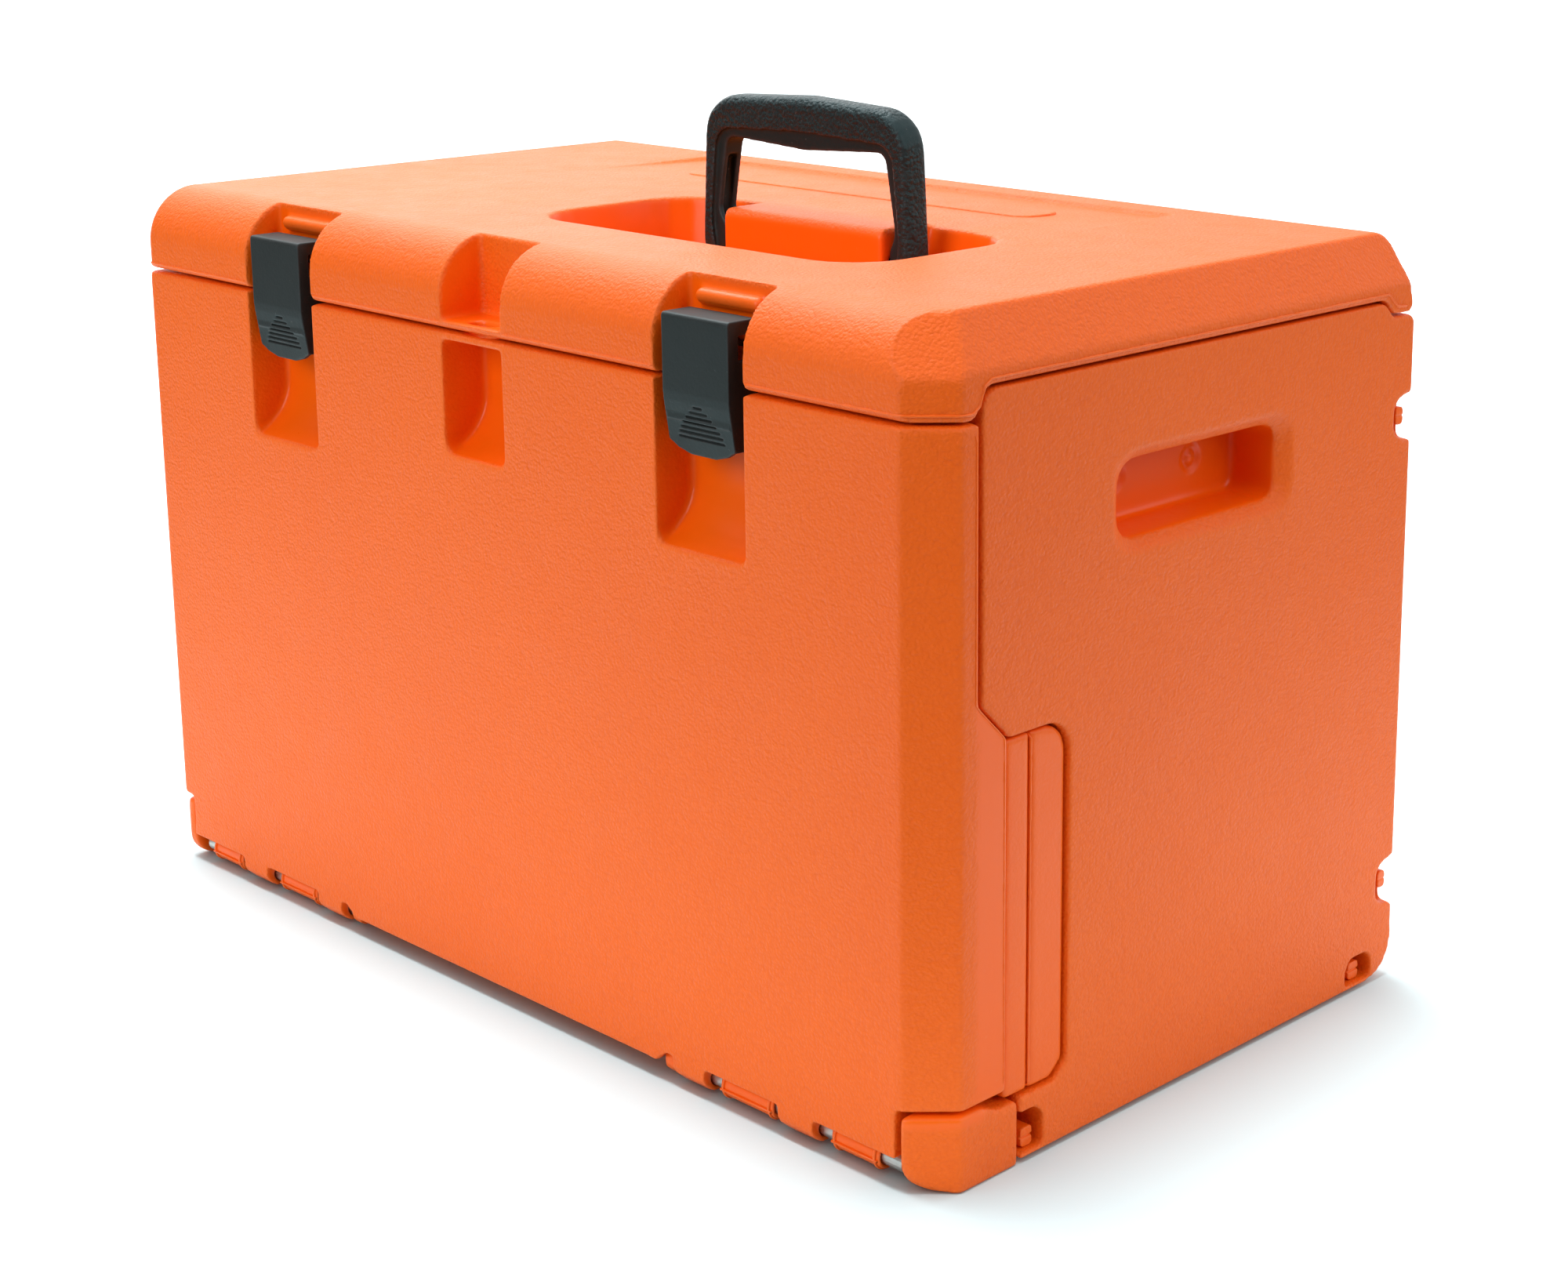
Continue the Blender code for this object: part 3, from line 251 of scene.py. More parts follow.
def relax(mesh, passes, weight=None):
    """Rounds a mesh by moving each point halfway to its neighbours' middle, scaled by weight(points)."""
    points = coordinates(mesh)
    pairs = edge_pairs(mesh)
    count = len(points)
    shares = np.maximum(np.bincount(pairs.ravel(), minlength=count), 1)
    strength = np.full(count, 0.5) if weight is None else 0.5 * weight(points)
    for _ in range(passes):
        middle = np.stack([gathered(points[:, axis], pairs, count) / shares for axis in range(3)], axis=1)
        points += (middle - points) * strength[:, None]
    return points


def write_points(mesh, points):
    """Moves a mesh's points to places in millimetres."""
    mesh.vertices.foreach_set("co", (points * MM).ravel())
    mesh.update()


def soften(item, voxel, passes, triangles, weight=None, shape=None):
    """Turns a hard-edged solid into a moulded one: even voxel mesh, rounded edges, then fewer triangles."""
    remesh = item.modifiers.new("remesh", "REMESH")
    remesh.mode = "VOXEL"
    remesh.voxel_size = voxel * COARSE * MM
    evaluated_mesh(item)
    points = relax(item.data, max(1, round(passes / COARSE**2)), weight)
    if shape is not None:
        points = shape(points)
    write_points(item.data, points)
    decimate = item.modifiers.new("decimate", "DECIMATE")
    decimate.ratio = min(1.0, triangles / (2 * len(item.data.polygons)))
    evaluated_mesh(item)
    return item


def worn_edges(mesh, radius=2.5):
    """Share of edge wear at each point: how sharply the surface bends outwards there."""
    points = coordinates(mesh)
    normals = vertex_normals(mesh)
    pairs = edge_pairs(mesh)
    count = len(points)
    step = points[pairs[:, 1]] - points[pairs[:, 0]]
    square = np.maximum((step**2).sum(axis=1), 1e-6)
    near = -(normals[pairs[:, 0]] * step).sum(axis=1) / square
    far = (normals[pairs[:, 1]] * step).sum(axis=1) / square
    total = np.bincount(pairs[:, 0], near, count) + np.bincount(pairs[:, 1], far, count)
    shares = np.maximum(np.bincount(pairs.ravel(), minlength=count), 1)
    bend = total / shares
    bend = (bend + gathered(bend, pairs, count) / shares) / 2
    return np.clip(bend * 2 * radius, 0, 1)


def set_field(mesh, name, values):
    """Stores one number per point for the shaders."""
    field = mesh.attributes.get(name) or mesh.attributes.new(name, "FLOAT", "POINT")
    field.data.foreach_set("value", np.asarray(values, dtype=np.float32))


def dress(item, material, body, gloss=None, replaces=()):
    """Finishes a piece: fields for the shader, smooth shading, material and body; hides the imported parts
    it replaces.
    """
    mesh = item.data
    points = coordinates(mesh)
    set_field(mesh, "gloss", np.zeros(len(points)) if gloss is None else gloss(points))
    set_field(mesh, "worn", worn_edges(mesh))
    mesh.shade_smooth()
    mesh.materials.clear()
    mesh.materials.append(material)
    even = item.modifiers.new("even_normals", "WEIGHTED_NORMAL")
    even.mode = "FACE_AREA"
    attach(item, body)
    if replaces:
        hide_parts(*replaces)
    return item


def even_gloss(share):
    """The same gloss all over a piece."""
    return lambda points: np.full(len(points), share)


def ramp(values, low, high):
    """0 at low, 1 at high, straight between."""
    return np.clip((values - low) / (high - low), 0, 1)


def bead(name, path, radius, surface=None, wobble=0.25, sides=6):
    """Raised parting line: a thin uneven tube along a path, laid on a surface."""
    points = [Vector(point) for point in path]
    if surface is not None:
        tree = BVHTree.FromObject(surface, bpy.context.evaluated_depsgraph_get())
        points = [tree.find_nearest(point * MM)[0] / MM for point in points]
    shape = bmesh.new()
    rings = []
    count = len(points)
    for index, point in enumerate(points):
        along = (points[min(index + 1, count - 1)] - points[max(index - 1, 0)]).normalized()
        side = along.orthogonal() if index == 0 else side - along * side.dot(along)
        side = side.normalized()
        up = along.cross(side)
        bump = noise.noise(point * 0.35) + 0.5 * noise.noise(point * 1.3)
        size = radius * (1 + wobble * 2 * bump)
        if index in (0, count - 1):
            size *= 0.2
        ring = []
        for step in range(sides):
            angle = 2 * math.pi * step / sides
            out = side * math.cos(angle) + up * math.sin(angle)
            ring.append(shape.verts.new((point + out * size) * MM))
        rings.append(ring)
    for before, after in zip(rings, rings[1:]):
        for step in range(sides):
            turn = (step + 1) % sides
            shape.faces.new((before[step], before[turn], after[turn], after[step]))
    shape.faces.new(rings[0])
    shape.faces.new(rings[-1])
    bmesh.ops.recalc_face_normals(shape, faces=shape.faces)
    return link(name, mesh_from(name, shape))


def fine_path(corners, step=1.5):
    """Evenly divided polyline through corners."""
    path = []
    for before, after in zip(corners, corners[1:]):
        before, after = Vector(before), Vector(after)
        parts = max(1, round((after - before).length / step))
        path += [before.lerp(after, index / parts) for index in range(parts)]
    path.append(Vector(corners[-1]))
    return path


# ---------------------------------------------------------------- materials


def new_material(name):
    """A node material with its nodes and links."""
    material = bpy.data.materials.new(name)
    material.use_nodes = True
    return material, material.node_tree.nodes, material.node_tree.links


def node(nodes, kind, **settings):
    """A new shader node with some of its inputs set."""
    made = nodes.new(kind)
    for key, value in settings.items():
        made.inputs[key].default_value = value
    return made


def math_node(nodes, links, operation, first, second=None, third=None, clamp=False):
    """One sum on numbers or sockets."""
    made = nodes.new("ShaderNodeMath")
    made.operation = operation
    made.use_clamp = clamp
    for socket, value in zip(made.inputs, (first, second, third)):
        if value is None:
            continue
        if isinstance(value, (int, float)):
            socket.default_value = value
        else:
            links.new(value, socket)
    return made.outputs[0]


def colour_mix(nodes, links, factor, first, second):
    """first where the factor is 0, second where it is 1; colours or sockets."""
    made = nodes.new("ShaderNodeMix")
    made.data_type = "RGBA"
    for socket, value in ((made.inputs[0], factor), (made.inputs[6], first), (made.inputs[7], second)):
        if isinstance(value, (int, float)):
            socket.default_value = value
        elif isinstance(value, tuple):
            socket.default_value = (*value, 1.0)
        else:
            links.new(value, socket)
    return made.outputs[2]


def noise_field(nodes, links, place, scale, detail=2.0, roughness=0.5, stretch=None):
    """Cloudy noise, with scale in features per metre, drawn out where stretch is below 1."""
    if stretch is not None:
        mapping = nodes.new("ShaderNodeMapping")
        mapping.inputs["Scale"].default_value = stretch
        links.new(place, mapping.inputs["Vector"])
        place = mapping.outputs["Vector"]
    made = node(nodes, "ShaderNodeTexNoise", Scale=scale, Detail=detail, Roughness=roughness)
    links.new(place, made.inputs["Vector"])
    return made.outputs["Fac"]


def field(nodes, name):
    """A number stored per point of the mesh."""
    made = nodes.new("ShaderNodeAttribute")
    made.attribute_name = name
    return made.outputs["Fac"]


def grain_height(nodes, links, place, size):
    """Pebbled leather grain: rounded cells with a finer noise on them, about size millimetres across."""
    warp = noise_field(nodes, links, place, 350.0 / size, 1.0)
    cells = node(nodes, "ShaderNodeTexVoronoi", Scale=1000.0 / (1.35 * size), Randomness=1.0)
    cells.feature = "F1"
    links.new(place, cells.inputs["Vector"])
    fine = noise_field(nodes, links, place, 1000.0 / (0.9 * size), 2.0, 0.6)
    pebble = math_node(nodes, links, "SUBTRACT", 1.0, cells.outputs["Distance"])
    mixed = math_node(nodes, links, "MULTIPLY_ADD", fine, 1.3, pebble)
    return math_node(nodes, links, "MULTIPLY_ADD", warp, 0.8, mixed)


def orange_plastic():
    """Blow-moulded polyethylene: pebbled outside, smoother and shinier where the gloss field is 1."""
    material, nodes, links = new_material("orange_moulded")
    shader = nodes["Principled BSDF"]
    place = nodes.new("ShaderNodeTexCoord").outputs["Object"]
    gloss = field(nodes, "gloss")
    worn = field(nodes, "worn")
    cloud = noise_field(nodes, links, place, 9.0, 3.0)
    blotch = noise_field(nodes, links, place, 60.0, 3.0, 0.6)
    grain = grain_height(nodes, links, place, 1.1)

    base = colour_mix(nodes, links, cloud, (0.89, 0.126, 0.0012), (0.94, 0.144, 0.002))
    smooth_base = colour_mix(nodes, links, gloss, base, (0.93, 0.122, 0.0008))
    rubbed = math_node(nodes, links, "MULTIPLY", worn, blotch)
    rubbed = math_node(nodes, links, "MULTIPLY", rubbed, 0.42)
    edged = colour_mix(nodes, links, rubbed, smooth_base, (0.97, 0.22, 0.05))
    # Painted shade: the colour darkens in the low pits of the grain, except where the surface is glossy.
    hollow = math_node(nodes, links, "MULTIPLY_ADD", grain, -0.16, 0.36, clamp=True)
    rough_side = math_node(nodes, links, "SUBTRACT", 1.0, gloss)
    hollow = math_node(nodes, links, "MULTIPLY", hollow, rough_side)
    shaded = colour_mix(nodes, links, hollow, edged, (0.62, 0.045, 0.0))
    # Pale specks scattered at random over the surface.
    specks = noise_field(nodes, links, place, 420.0, 2.0, 0.7)
    specks = math_node(nodes, links, "MULTIPLY_ADD", specks, 9.0, -6.1, clamp=True)
    speck_share = math_node(nodes, links, "MULTIPLY", specks, 0.06)
    specked = colour_mix(nodes, links, speck_share, shaded, (0.75, 0.45, 0.30))
    links.new(specked, shader.inputs["Base Color"])

    streaks = noise_field(nodes, links, place, 260.0, 3.0, 0.6, stretch=(1.0, 1.0, 0.06))
    dull = math_node(nodes, links, "MULTIPLY_ADD", blotch, 0.16, 0.42)
    shiny = math_node(nodes, links, "MULTIPLY_ADD", streaks, 0.14, 0.24)
    gap = math_node(nodes, links, "SUBTRACT", shiny, dull)
    roughness = math_node(nodes, links, "MULTIPLY_ADD", gap, gloss, dull)
    links.new(roughness, shader.inputs["Roughness"])
    shader.inputs["IOR"].default_value = 1.5
    shader.inputs["Specular IOR Level"].default_value = 0.32

    grain_bump = nodes.new("ShaderNodeBump")
    grain_bump.inputs["Distance"].default_value = 0.00034
    links.new(grain, grain_bump.inputs["Height"])
    grain_strength = math_node(nodes, links, "MULTIPLY_ADD", rough_side, 0.72, 0.03)
    links.new(grain_strength, grain_bump.inputs["Strength"])
    streak_bump = nodes.new("ShaderNodeBump")
    streak_bump.inputs["Distance"].default_value = 0.00025
    links.new(streaks, streak_bump.inputs["Height"])
    links.new(math_node(nodes, links, "MULTIPLY", gloss, 0.22), streak_bump.inputs["Strength"])
    links.new(grain_bump.outputs["Normal"], streak_bump.inputs["Normal"])
    wave = nodes.new("ShaderNodeBump")
    wave.inputs["Distance"].default_value = 0.0012
    wave.inputs["Strength"].default_value = 0.25
    links.new(noise_field(nodes, links, place, 22.0, 1.0), wave.inputs["Height"])
    links.new(streak_bump.outputs["Normal"], wave.inputs["Normal"])
    links.new(wave.outputs["Normal"], shader.inputs["Normal"])
    return material


def black_plastic(name, grain_size, grain_share, roughness, colour):
    """Injection-moulded black plastic, grained where the gloss field is 0."""
    material, nodes, links = new_material(name)
    shader = nodes["Principled BSDF"]
    place = nodes.new("ShaderNodeTexCoord").outputs["Object"]
    gloss = field(nodes, "gloss")
    worn = field(nodes, "worn")
    rough_side = math_node(nodes, links, "SUBTRACT", 1.0, gloss)
    blotch = noise_field(nodes, links, place, 90.0, 3.0, 0.6)
    grain = grain_height(nodes, links, place, grain_size)
    lighter = tuple(channel * 1.5 for channel in colour)
    base = colour_mix(nodes, links, blotch, colour, lighter)
    rubbed = math_node(nodes, links, "MULTIPLY", math_node(nodes, links, "MULTIPLY", worn, blotch), 0.35)
    edged = colour_mix(nodes, links, rubbed, base, (0.10, 0.10, 0.105))
    # Pale specks scattered at random over the surface.
    specks = noise_field(nodes, links, place, 500.0, 2.0, 0.7)
    specks = math_node(nodes, links, "MULTIPLY_ADD", specks, 10.0, -6.9, clamp=True)
    speck_share = math_node(nodes, links, "MULTIPLY", specks, 0.25)
    specked = colour_mix(nodes, links, speck_share, edged, (0.25, 0.25, 0.25))
    links.new(specked, shader.inputs["Base Color"])
    low = math_node(nodes, links, "MULTIPLY_ADD", blotch, 0.18, roughness - 0.09)
    links.new(low, shader.inputs["Roughness"])
    shader.inputs["Specular IOR Level"].default_value = 0.35
    # Painted light: reflections are tinted cyan to cancel the orange light of the case that they pick up.
    shader.inputs["Specular Tint"].default_value = (0.6, 0.95, 1.0, 1.0)
    bump = nodes.new("ShaderNodeBump")
    bump.inputs["Distance"].default_value = 0.0005
    links.new(grain, bump.inputs["Height"])
    strength = math_node(nodes, links, "MULTIPLY_ADD", rough_side, grain_share, 0.06)
    links.new(strength, bump.inputs["Strength"])
    links.new(bump.outputs["Normal"], shader.inputs["Normal"])
    return material


def plated_steel():
    """Zinc-plated rod with fine drawing lines along X."""
    material, nodes, links = new_material("plated_steel")
    shader = nodes["Principled BSDF"]
    place = nodes.new("ShaderNodeTexCoord").outputs["Object"]
    lines = noise_field(nodes, links, place, 900.0, 3.0, 0.6, stretch=(0.05, 1.0, 1.0))
    cloud = noise_field(nodes, links, place, 140.0, 3.0, 0.6)
    tone = colour_mix(nodes, links, cloud, (0.42, 0.42, 0.40), (0.66, 0.66, 0.63))
    links.new(tone, shader.inputs["Base Color"])
    links.new(math_node(nodes, links, "MULTIPLY_ADD", lines, 0.25, 0.24), shader.inputs["Roughness"])
    shader.inputs["Metallic"].default_value = 1.0
    bump = nodes.new("ShaderNodeBump")
    bump.inputs["Distance"].default_value = 0.00005
    bump.inputs["Strength"].default_value = 0.3
    links.new(lines, bump.inputs["Height"])
    links.new(bump.outputs["Normal"], shader.inputs["Normal"])
    return material


ORANGE = orange_plastic()
# Painted light: the handle's black is tinted cyan to cancel the orange light that the case bounces onto it.
BLACK_GRAIN = black_plastic("black_leather_grain", 1.5, 0.9, 0.47, (0.004, 0.011, 0.012))
BLACK_SATIN = black_plastic("black_satin", 1.15, 0.04, 0.54, (0.013, 0.012, 0.011))
STEEL = plated_steel()


# ---------------------------------------------------------------- orange panels


def inside_box(points, low, high, blend=0.6):
    """1 well inside a box, 0 outside, over a short blend."""
    share = np.ones(len(points))
    for axis in range(3):
        share = np.minimum(share, ramp(points[:, axis], low[axis] - blend, low[axis]))
        share = np.minimum(share, ramp(points[:, axis], high[axis] + blend, high[axis]))
    return share


def front_gloss(points):
    """Smooth inside, in the recesses and round the rod knuckles."""
    share = ramp(points[:, 1], -123.0, -121.6)
    for side in (1, -1):
        low = (side * LATCH_X - LATCH_RECESS_HALF + 0.3, FRONT + 2.0, LATCH_RECESS_FOOT)
        high = (side * LATCH_X + LATCH_RECESS_HALF - 0.3, -120.0, 292.0)
        share = np.maximum(share, inside_box(points, low, high))
    low = (-LOCK_RECESS_HALF + 0.3, FRONT + 2.0, LOCK_RECESS_FOOT)
    high = (LOCK_RECESS_HALF - 0.3, -120.0, 286.0)
    share = np.maximum(share, inside_box(points, low, high))
    knuckles = ramp(points[:, 2], 15.0, 13.0) * ramp(np.abs(points[:, 0]), 103.0, 105.0)
    return np.maximum(share, knuckles * ramp(points[:, 1], FRONT + 0.2, FRONT + 1.5))


RECESSES = (
    (LATCH_X, LATCH_RECESS_HALF, LATCH_RECESS_FOOT),
    (-LATCH_X, LATCH_RECESS_HALF, LATCH_RECESS_FOOT),
    (0.0, LOCK_RECESS_HALF, LOCK_RECESS_FOOT),
)


def recess_zone(points, low_z):
    """1 in and just round the latch and padlock recesses."""
    x, y, z = points.T
    share = np.zeros(len(points))
    for middle, half, _ in RECESSES:
        share = np.maximum(share, ramp(np.abs(x - middle), half + 4.0, half + 2.0))
    return share * ramp(z, low_z - 4.0, low_z - 1.0) * ramp(y, -118.0, -121.0)


def front_weight(points):
    """Knuckles and recesses keep more of their shape than the panel's other edges."""
    low = ramp(points[:, 2], 20.0, 16.0) * ramp(np.abs(points[:, 0]), 99.0, 103.0)
    return 1.0 - 0.7 * np.maximum(low, 0.6 * recess_zone(points, LATCH_RECESS_FOOT))


def recess_fillet(name, corner, level, inward):
    """Fills a recess's square lower corner to a quarter round."""
    centre = (corner + inward * RECESS_CORNER, level + RECESS_CORNER)
    outline = [(corner - inward, level - 1.0), (centre[0], level - 1.0)]
    for step in range(9):
        turn = math.radians(90.0 * step / 8)
        across = centre[0] - inward * RECESS_CORNER * math.sin(turn)
        outline.append((across, centre[1] - RECESS_CORNER * math.cos(turn)))
    outline.append((corner - inward, centre[1]))
    return plate(name, "Y", outline, FRONT + 0.05, FRONT + 14.0)


def make_front():
    """Front panel with rounded corners at the foot of its three recesses."""
    panel = welded_copy("front_shell", "front_panel")
    fillets = []
    for middle, half, level in RECESSES:
        for inward in (1, -1):
            corner = middle - inward * half
            fillets.append(recess_fillet(f"fillet_{len(fillets)}", corner, level, inward))
    combine(panel, "UNION", fillets)
    soften(panel, 1.0, 8, 90000, front_weight)
    return dress(panel, ORANGE, "case", front_gloss, ("front_panel",))


def end_depth(points):
    """Distance in from the nearer end's face."""
    x = points[:, 0]
    return np.where(x > 0, END_FACE[1] - x, x - END_FACE[-1])


def end_gloss(points):
    """Smooth in the grab pocket and on the inner wall."""
    depth = end_depth(points)
    pocket = inside_box(points, (-300.0, -45.0, 226.0), (300.0, 59.0, 267.0), 1.0)
    return np.maximum(pocket * ramp(depth, 4.2, 5.6), ramp(depth, 28.4, 29.4))


def pocket_dimples(side):
    """Round kiss-off marks on the back wall of a grab pocket: (ring grooves, centre domes)."""
    floor_x = END_FACE[side] - side * POCKET_DEPTH
    outward = Matrix.Rotation(side * math.pi / 2, 4, "Y")
    groove = [(0, -1.6), (3.6, -1.6), (6.4, 0.0), (6.4, 2.0), (0, 2.0)]
    dome = [(0, -4.0), (3.4, -4.0), (3.4, -1.6), (2.6, -0.4), (1.4, 0.2), (0, 0.4)]
    rings = []
    domes = []
    for offset in (-24.0, 22.0):
        place = Matrix.Translation(Vector((floor_x, 7.0 + offset, 248.0)) * MM) @ outward
        rings.append(ring_solid("ring_groove", groove, place))
        domes.append(ring_solid("dome", dome, place))
    return rings, domes


def make_end(name, side):
    """End panel; the dimples and the peg notches keep more of their shape than its edges."""
    panel = welded_copy(name + "_end_shell", name + "_end_panel")
    rings, domes = pocket_dimples(side)
    combine(panel, "DIFFERENCE", rings)
    combine(panel, "UNION", domes)

    def weight(points):
        dimples = inside_box(points, (-300.0, -30.0, 236.0), (300.0, 44.0, 257.0), 0.5)
        dimples = dimples * ramp(end_depth(points), 20.0, 22.0)
        notches = ramp(points[:, 2], 24.0, 21.0) * ramp(end_depth(points), 20.0, 18.0)
        return 1.0 - 0.75 * np.maximum(dimples, 0.7 * notches)

    soften(panel, 1.0, 8, 60000, weight)
    return dress(panel, ORANGE, "case", end_gloss, (name + "_end_panel",))


def rear_gloss(points):
    """Smooth on the inner wall."""
    return ramp(points[:, 1], 121.5, 120.0)


def make_rear():
    """Rear panel; its rod and hinge knuckles keep their shape."""
    panel = welded_copy("rear_shell", "rear_panel")

    def weight(points):
        rods = ramp(points[:, 2], 18.0, 14.0) * ramp(np.abs(points[:, 0]), 102.0, 106.0)
        hinge = ramp(points[:, 2], 286.0, 289.0) * ramp(points[:, 1], 132.0, 135.0)
        hinge = hinge * ramp(np.abs(points[:, 0]), 106.0, 109.0) * ramp(np.abs(points[:, 0]), 204.0, 201.0)
        return 1.0 - 0.7 * np.maximum(rods, hinge)

    soften(panel, 1.1, 7, 60000, weight)
    return dress(panel, ORANGE, "case", rear_gloss, ("rear_panel",))


def base_gloss(points):
    """Smooth inside, round the knuckles and, with an uneven border, on top of the corner blocks."""
    x, y, z = points.T
    rods = ramp(np.abs(y), 121.0, 123.0) * ramp(np.abs(x), 241.0, 239.5)
    inner = ramp(z, 26.0, 26.9) * ramp(np.abs(x), 231.0, 229.0)
    ragged = np.array([noise.noise(Vector(point) * 0.4) for point in points])
    block_top = ramp(z + 1.2 * ragged, 25.4, 26.4) * ramp(y, -115.0, -119.0)
    return np.maximum(np.maximum(rods, inner), block_top)


def make_base():
    """Base panel with its corner blocks and knuckles."""
    panel = welded_copy("base_shell", "base_panel")

    def weight(points):
        rods = ramp(np.abs(points[:, 1]), 122.0, 125.0) * ramp(np.abs(points[:, 0]), 241.0, 239.0)
        return 1.0 - 0.7 * rods

    soften(panel, 1.1, 7, 50000, weight)
    return dress(panel, ORANGE, "case", base_gloss, ("base_panel",))


def make_knuckle_ribs():
    """Small stiffening ribs on the base's knuckles: a ledge along each and a collar at both ends."""
    spans = [(140.0, 171.0), (203.0, 229.0), (-171.0, -140.0), (-229.0, -203.0)]
    for wall, sign in (("front", -1), ("rear", 1)):
        for index, (low, high) in enumerate(spans):
            if sign > 0 and low < -200.0:
                low = REAR_LEFT_KNUCKLE
            centre_y = sign * KNUCKLE_Y
            ledge = rounded(
                [
                    (centre_y + sign * 3.0, KNUCKLE_Z - 1.9, 0.0),
                    (centre_y + sign * 6.6, KNUCKLE_Z - 1.7, 0.5),
                    (centre_y + sign * 6.6, KNUCKLE_Z - 0.7, 0.5),
                    (centre_y + sign * 3.0, KNUCKLE_Z - 0.5, 0.0),
                ],
                4,
            )
            pieces = [plate(f"knuckle_ledge_{wall}_{index + 1}", "X", ledge, low + 1.0, high - 1.0)]
            for number, start in enumerate((low + 1.6, high - 3.0)):
                turn = Matrix.Rotation(math.pi / 2, 4, "Y")
                place = Matrix.Translation(Vector((start, centre_y, KNUCKLE_Z)) * MM) @ turn
                collar = [(4.4, 0.0), (6.2, 0.0), (6.5, 0.4), (6.5, 1.0), (6.2, 1.4), (4.4, 1.4)]
                name = f"knuckle_collar_{wall}_{index + 1}_{number + 1}"
                pieces.append(ring_solid(name, [(0, 0.1), *collar, (0, 1.3)], place))
            for piece in pieces:
                dress(piece, ORANGE, "case", even_gloss(0.9))


# ---------------------------------------------------------------- lid


def lid_depth(points):
    """How far each point lies below the lid's outer front and top skin."""
    y, z = points[:, 1], points[:, 2]
    centre_y = FRONT + LID_ROUND
    centre_z = LID_TOP - LID_ROUND
    from_centre = np.hypot(y - centre_y, z - centre_z)
    in_round = (y < centre_y) & (z > centre_z)
    flat = np.where(z > centre_z, LID_TOP - z, y - FRONT)
    return np.where(in_round, LID_ROUND - from_centre, flat)


def lid_gloss(points):
    """Smooth in the recesses and the handle scoop and on the underside."""
    x, y, z = points.T
    below = ramp(lid_depth(points), 1.2, 2.2)
    share = np.zeros(len(points))
    for middle, half, _ in RECESSES:
        beside = ramp(np.abs(x - middle), half + 0.4, half - 0.2)
        share = np.maximum(share, beside * below * ramp(y, -124.0, -125.0))
    scoop = inside_box(points, (-50.0, -77.0, 300.0), (154.0, 21.0, 326.5), 0.8)
    saddle_top = inside_box(points, (2.0, -8.0, 327.0), (100.0, 30.0, 340.0), 1.0)
    share = np.maximum(share, scoop * (1.0 - saddle_top))
    return np.maximum(share, ramp(z, 303.0, 301.5) * ramp(np.abs(x), 228.0, 226.0) * ramp(y, -121.0, -119.0))


def lid_weight(points):
    """Latch bars, hinge knuckles and recesses keep more of their shape than the lid's other edges."""
    x, y, z = points.T
    bars = inside_box(points, (-200.0, -140.0, 304.0), (200.0, -126.6, 315.0), 0.5)
    hinge = ramp(z, 303.0, 300.0) * ramp(y, 132.0, 135.0) * ramp(np.abs(x), 106.0, 109.0)
    kept = np.maximum(bars, hinge)
    return 1.0 - 0.75 * np.maximum(kept, 0.6 * recess_zone(points, 280.0))


def round_again(points, centre, radius, y_sign):
    """Moves points near a faceted quarter round onto the true round."""
    dy = (points[:, 1] - centre[0]) * y_sign
    dz = points[:, 2] - centre[1]
    reach = np.hypot(dy, dz)
    near = (dy > 0) & (dz > 0) & (reach > radius - 0.75) & (reach < radius + 0.2)
    share = np.where(near, ramp(reach, radius - 0.75, radius - 0.5), 0.0)
    scale = 1 + share * (radius / np.maximum(reach, 1e-6) - 1)
    points[:, 1] = centre[0] + dy * scale * y_sign
    points[:, 2] = centre[1] + dz * scale
    return points


def round_end(points):
    """Rounds the edge between the lid's outer skin and its plain left end."""
    depth = lid_depth(points)
    inward = points[:, 0] - LID_END[-1]
    radius = LID_END_ROUND
    across, below = radius - inward, radius - depth
    reach = np.hypot(across, below)
    near = (across > 0) & (below > 0) & (reach > radius)
    scale = np.where(near, radius / np.maximum(reach, 1e-6), 1.0)
    moved = points.copy()
    moved[:, 0] = np.where(near, LID_END[-1] + radius - across * scale, points[:, 0])
    sink = np.where(near, below * (1 - scale), 0.0)
    y, z = points[:, 1], points[:, 2]
    centre_y, centre_z = FRONT + LID_ROUND, LID_TOP - LID_ROUND
    turn = np.arctan2(np.maximum(z - centre_z, 0.0), np.maximum(centre_y - y, 0.0))
    upright = y < centre_y
    moved[:, 1] += np.where(upright, sink * np.cos(turn), 0.0)
    moved[:, 2] -= np.where(upright, sink * np.sin(turn), sink)
    return moved


def lid_shape(points):
    """Trues the lid's front round and rounds its left end."""
    x = points[:, 0]
    away = (x > LID_END[-1] + 3.0) & (x < LID_END[1] - 18.0)
    rounded_points = round_again(points.copy(), (FRONT + LID_ROUND, LID_TOP - LID_ROUND), LID_ROUND, -1)
    points[away] = rounded_points[away]
    left = x < LID_END[-1] + 8.0
    points[left] = round_end(points[left])
    return points


def make_lid():
    """Lid with a moulded ridge above each latch."""
    panel = welded_copy("lid_shell", "lid")
    soften(panel, 1.0, 8, 110000, lid_weight, lid_shape)
    dress(panel, ORANGE, "lid_body", lid_gloss, ("lid",))
    for side, name in ((1, "right"), (-1, "left")):
        start = (side * LATCH_X - 15.2, -127.4, 319.6)
        end = (side * LATCH_X + 15.2, -127.4, 319.6)
        ridge = capsule("latch_ridge_" + name, start, end, 2.9)
        dress(ridge, ORANGE, "lid_body", even_gloss(0.8))
    return panel


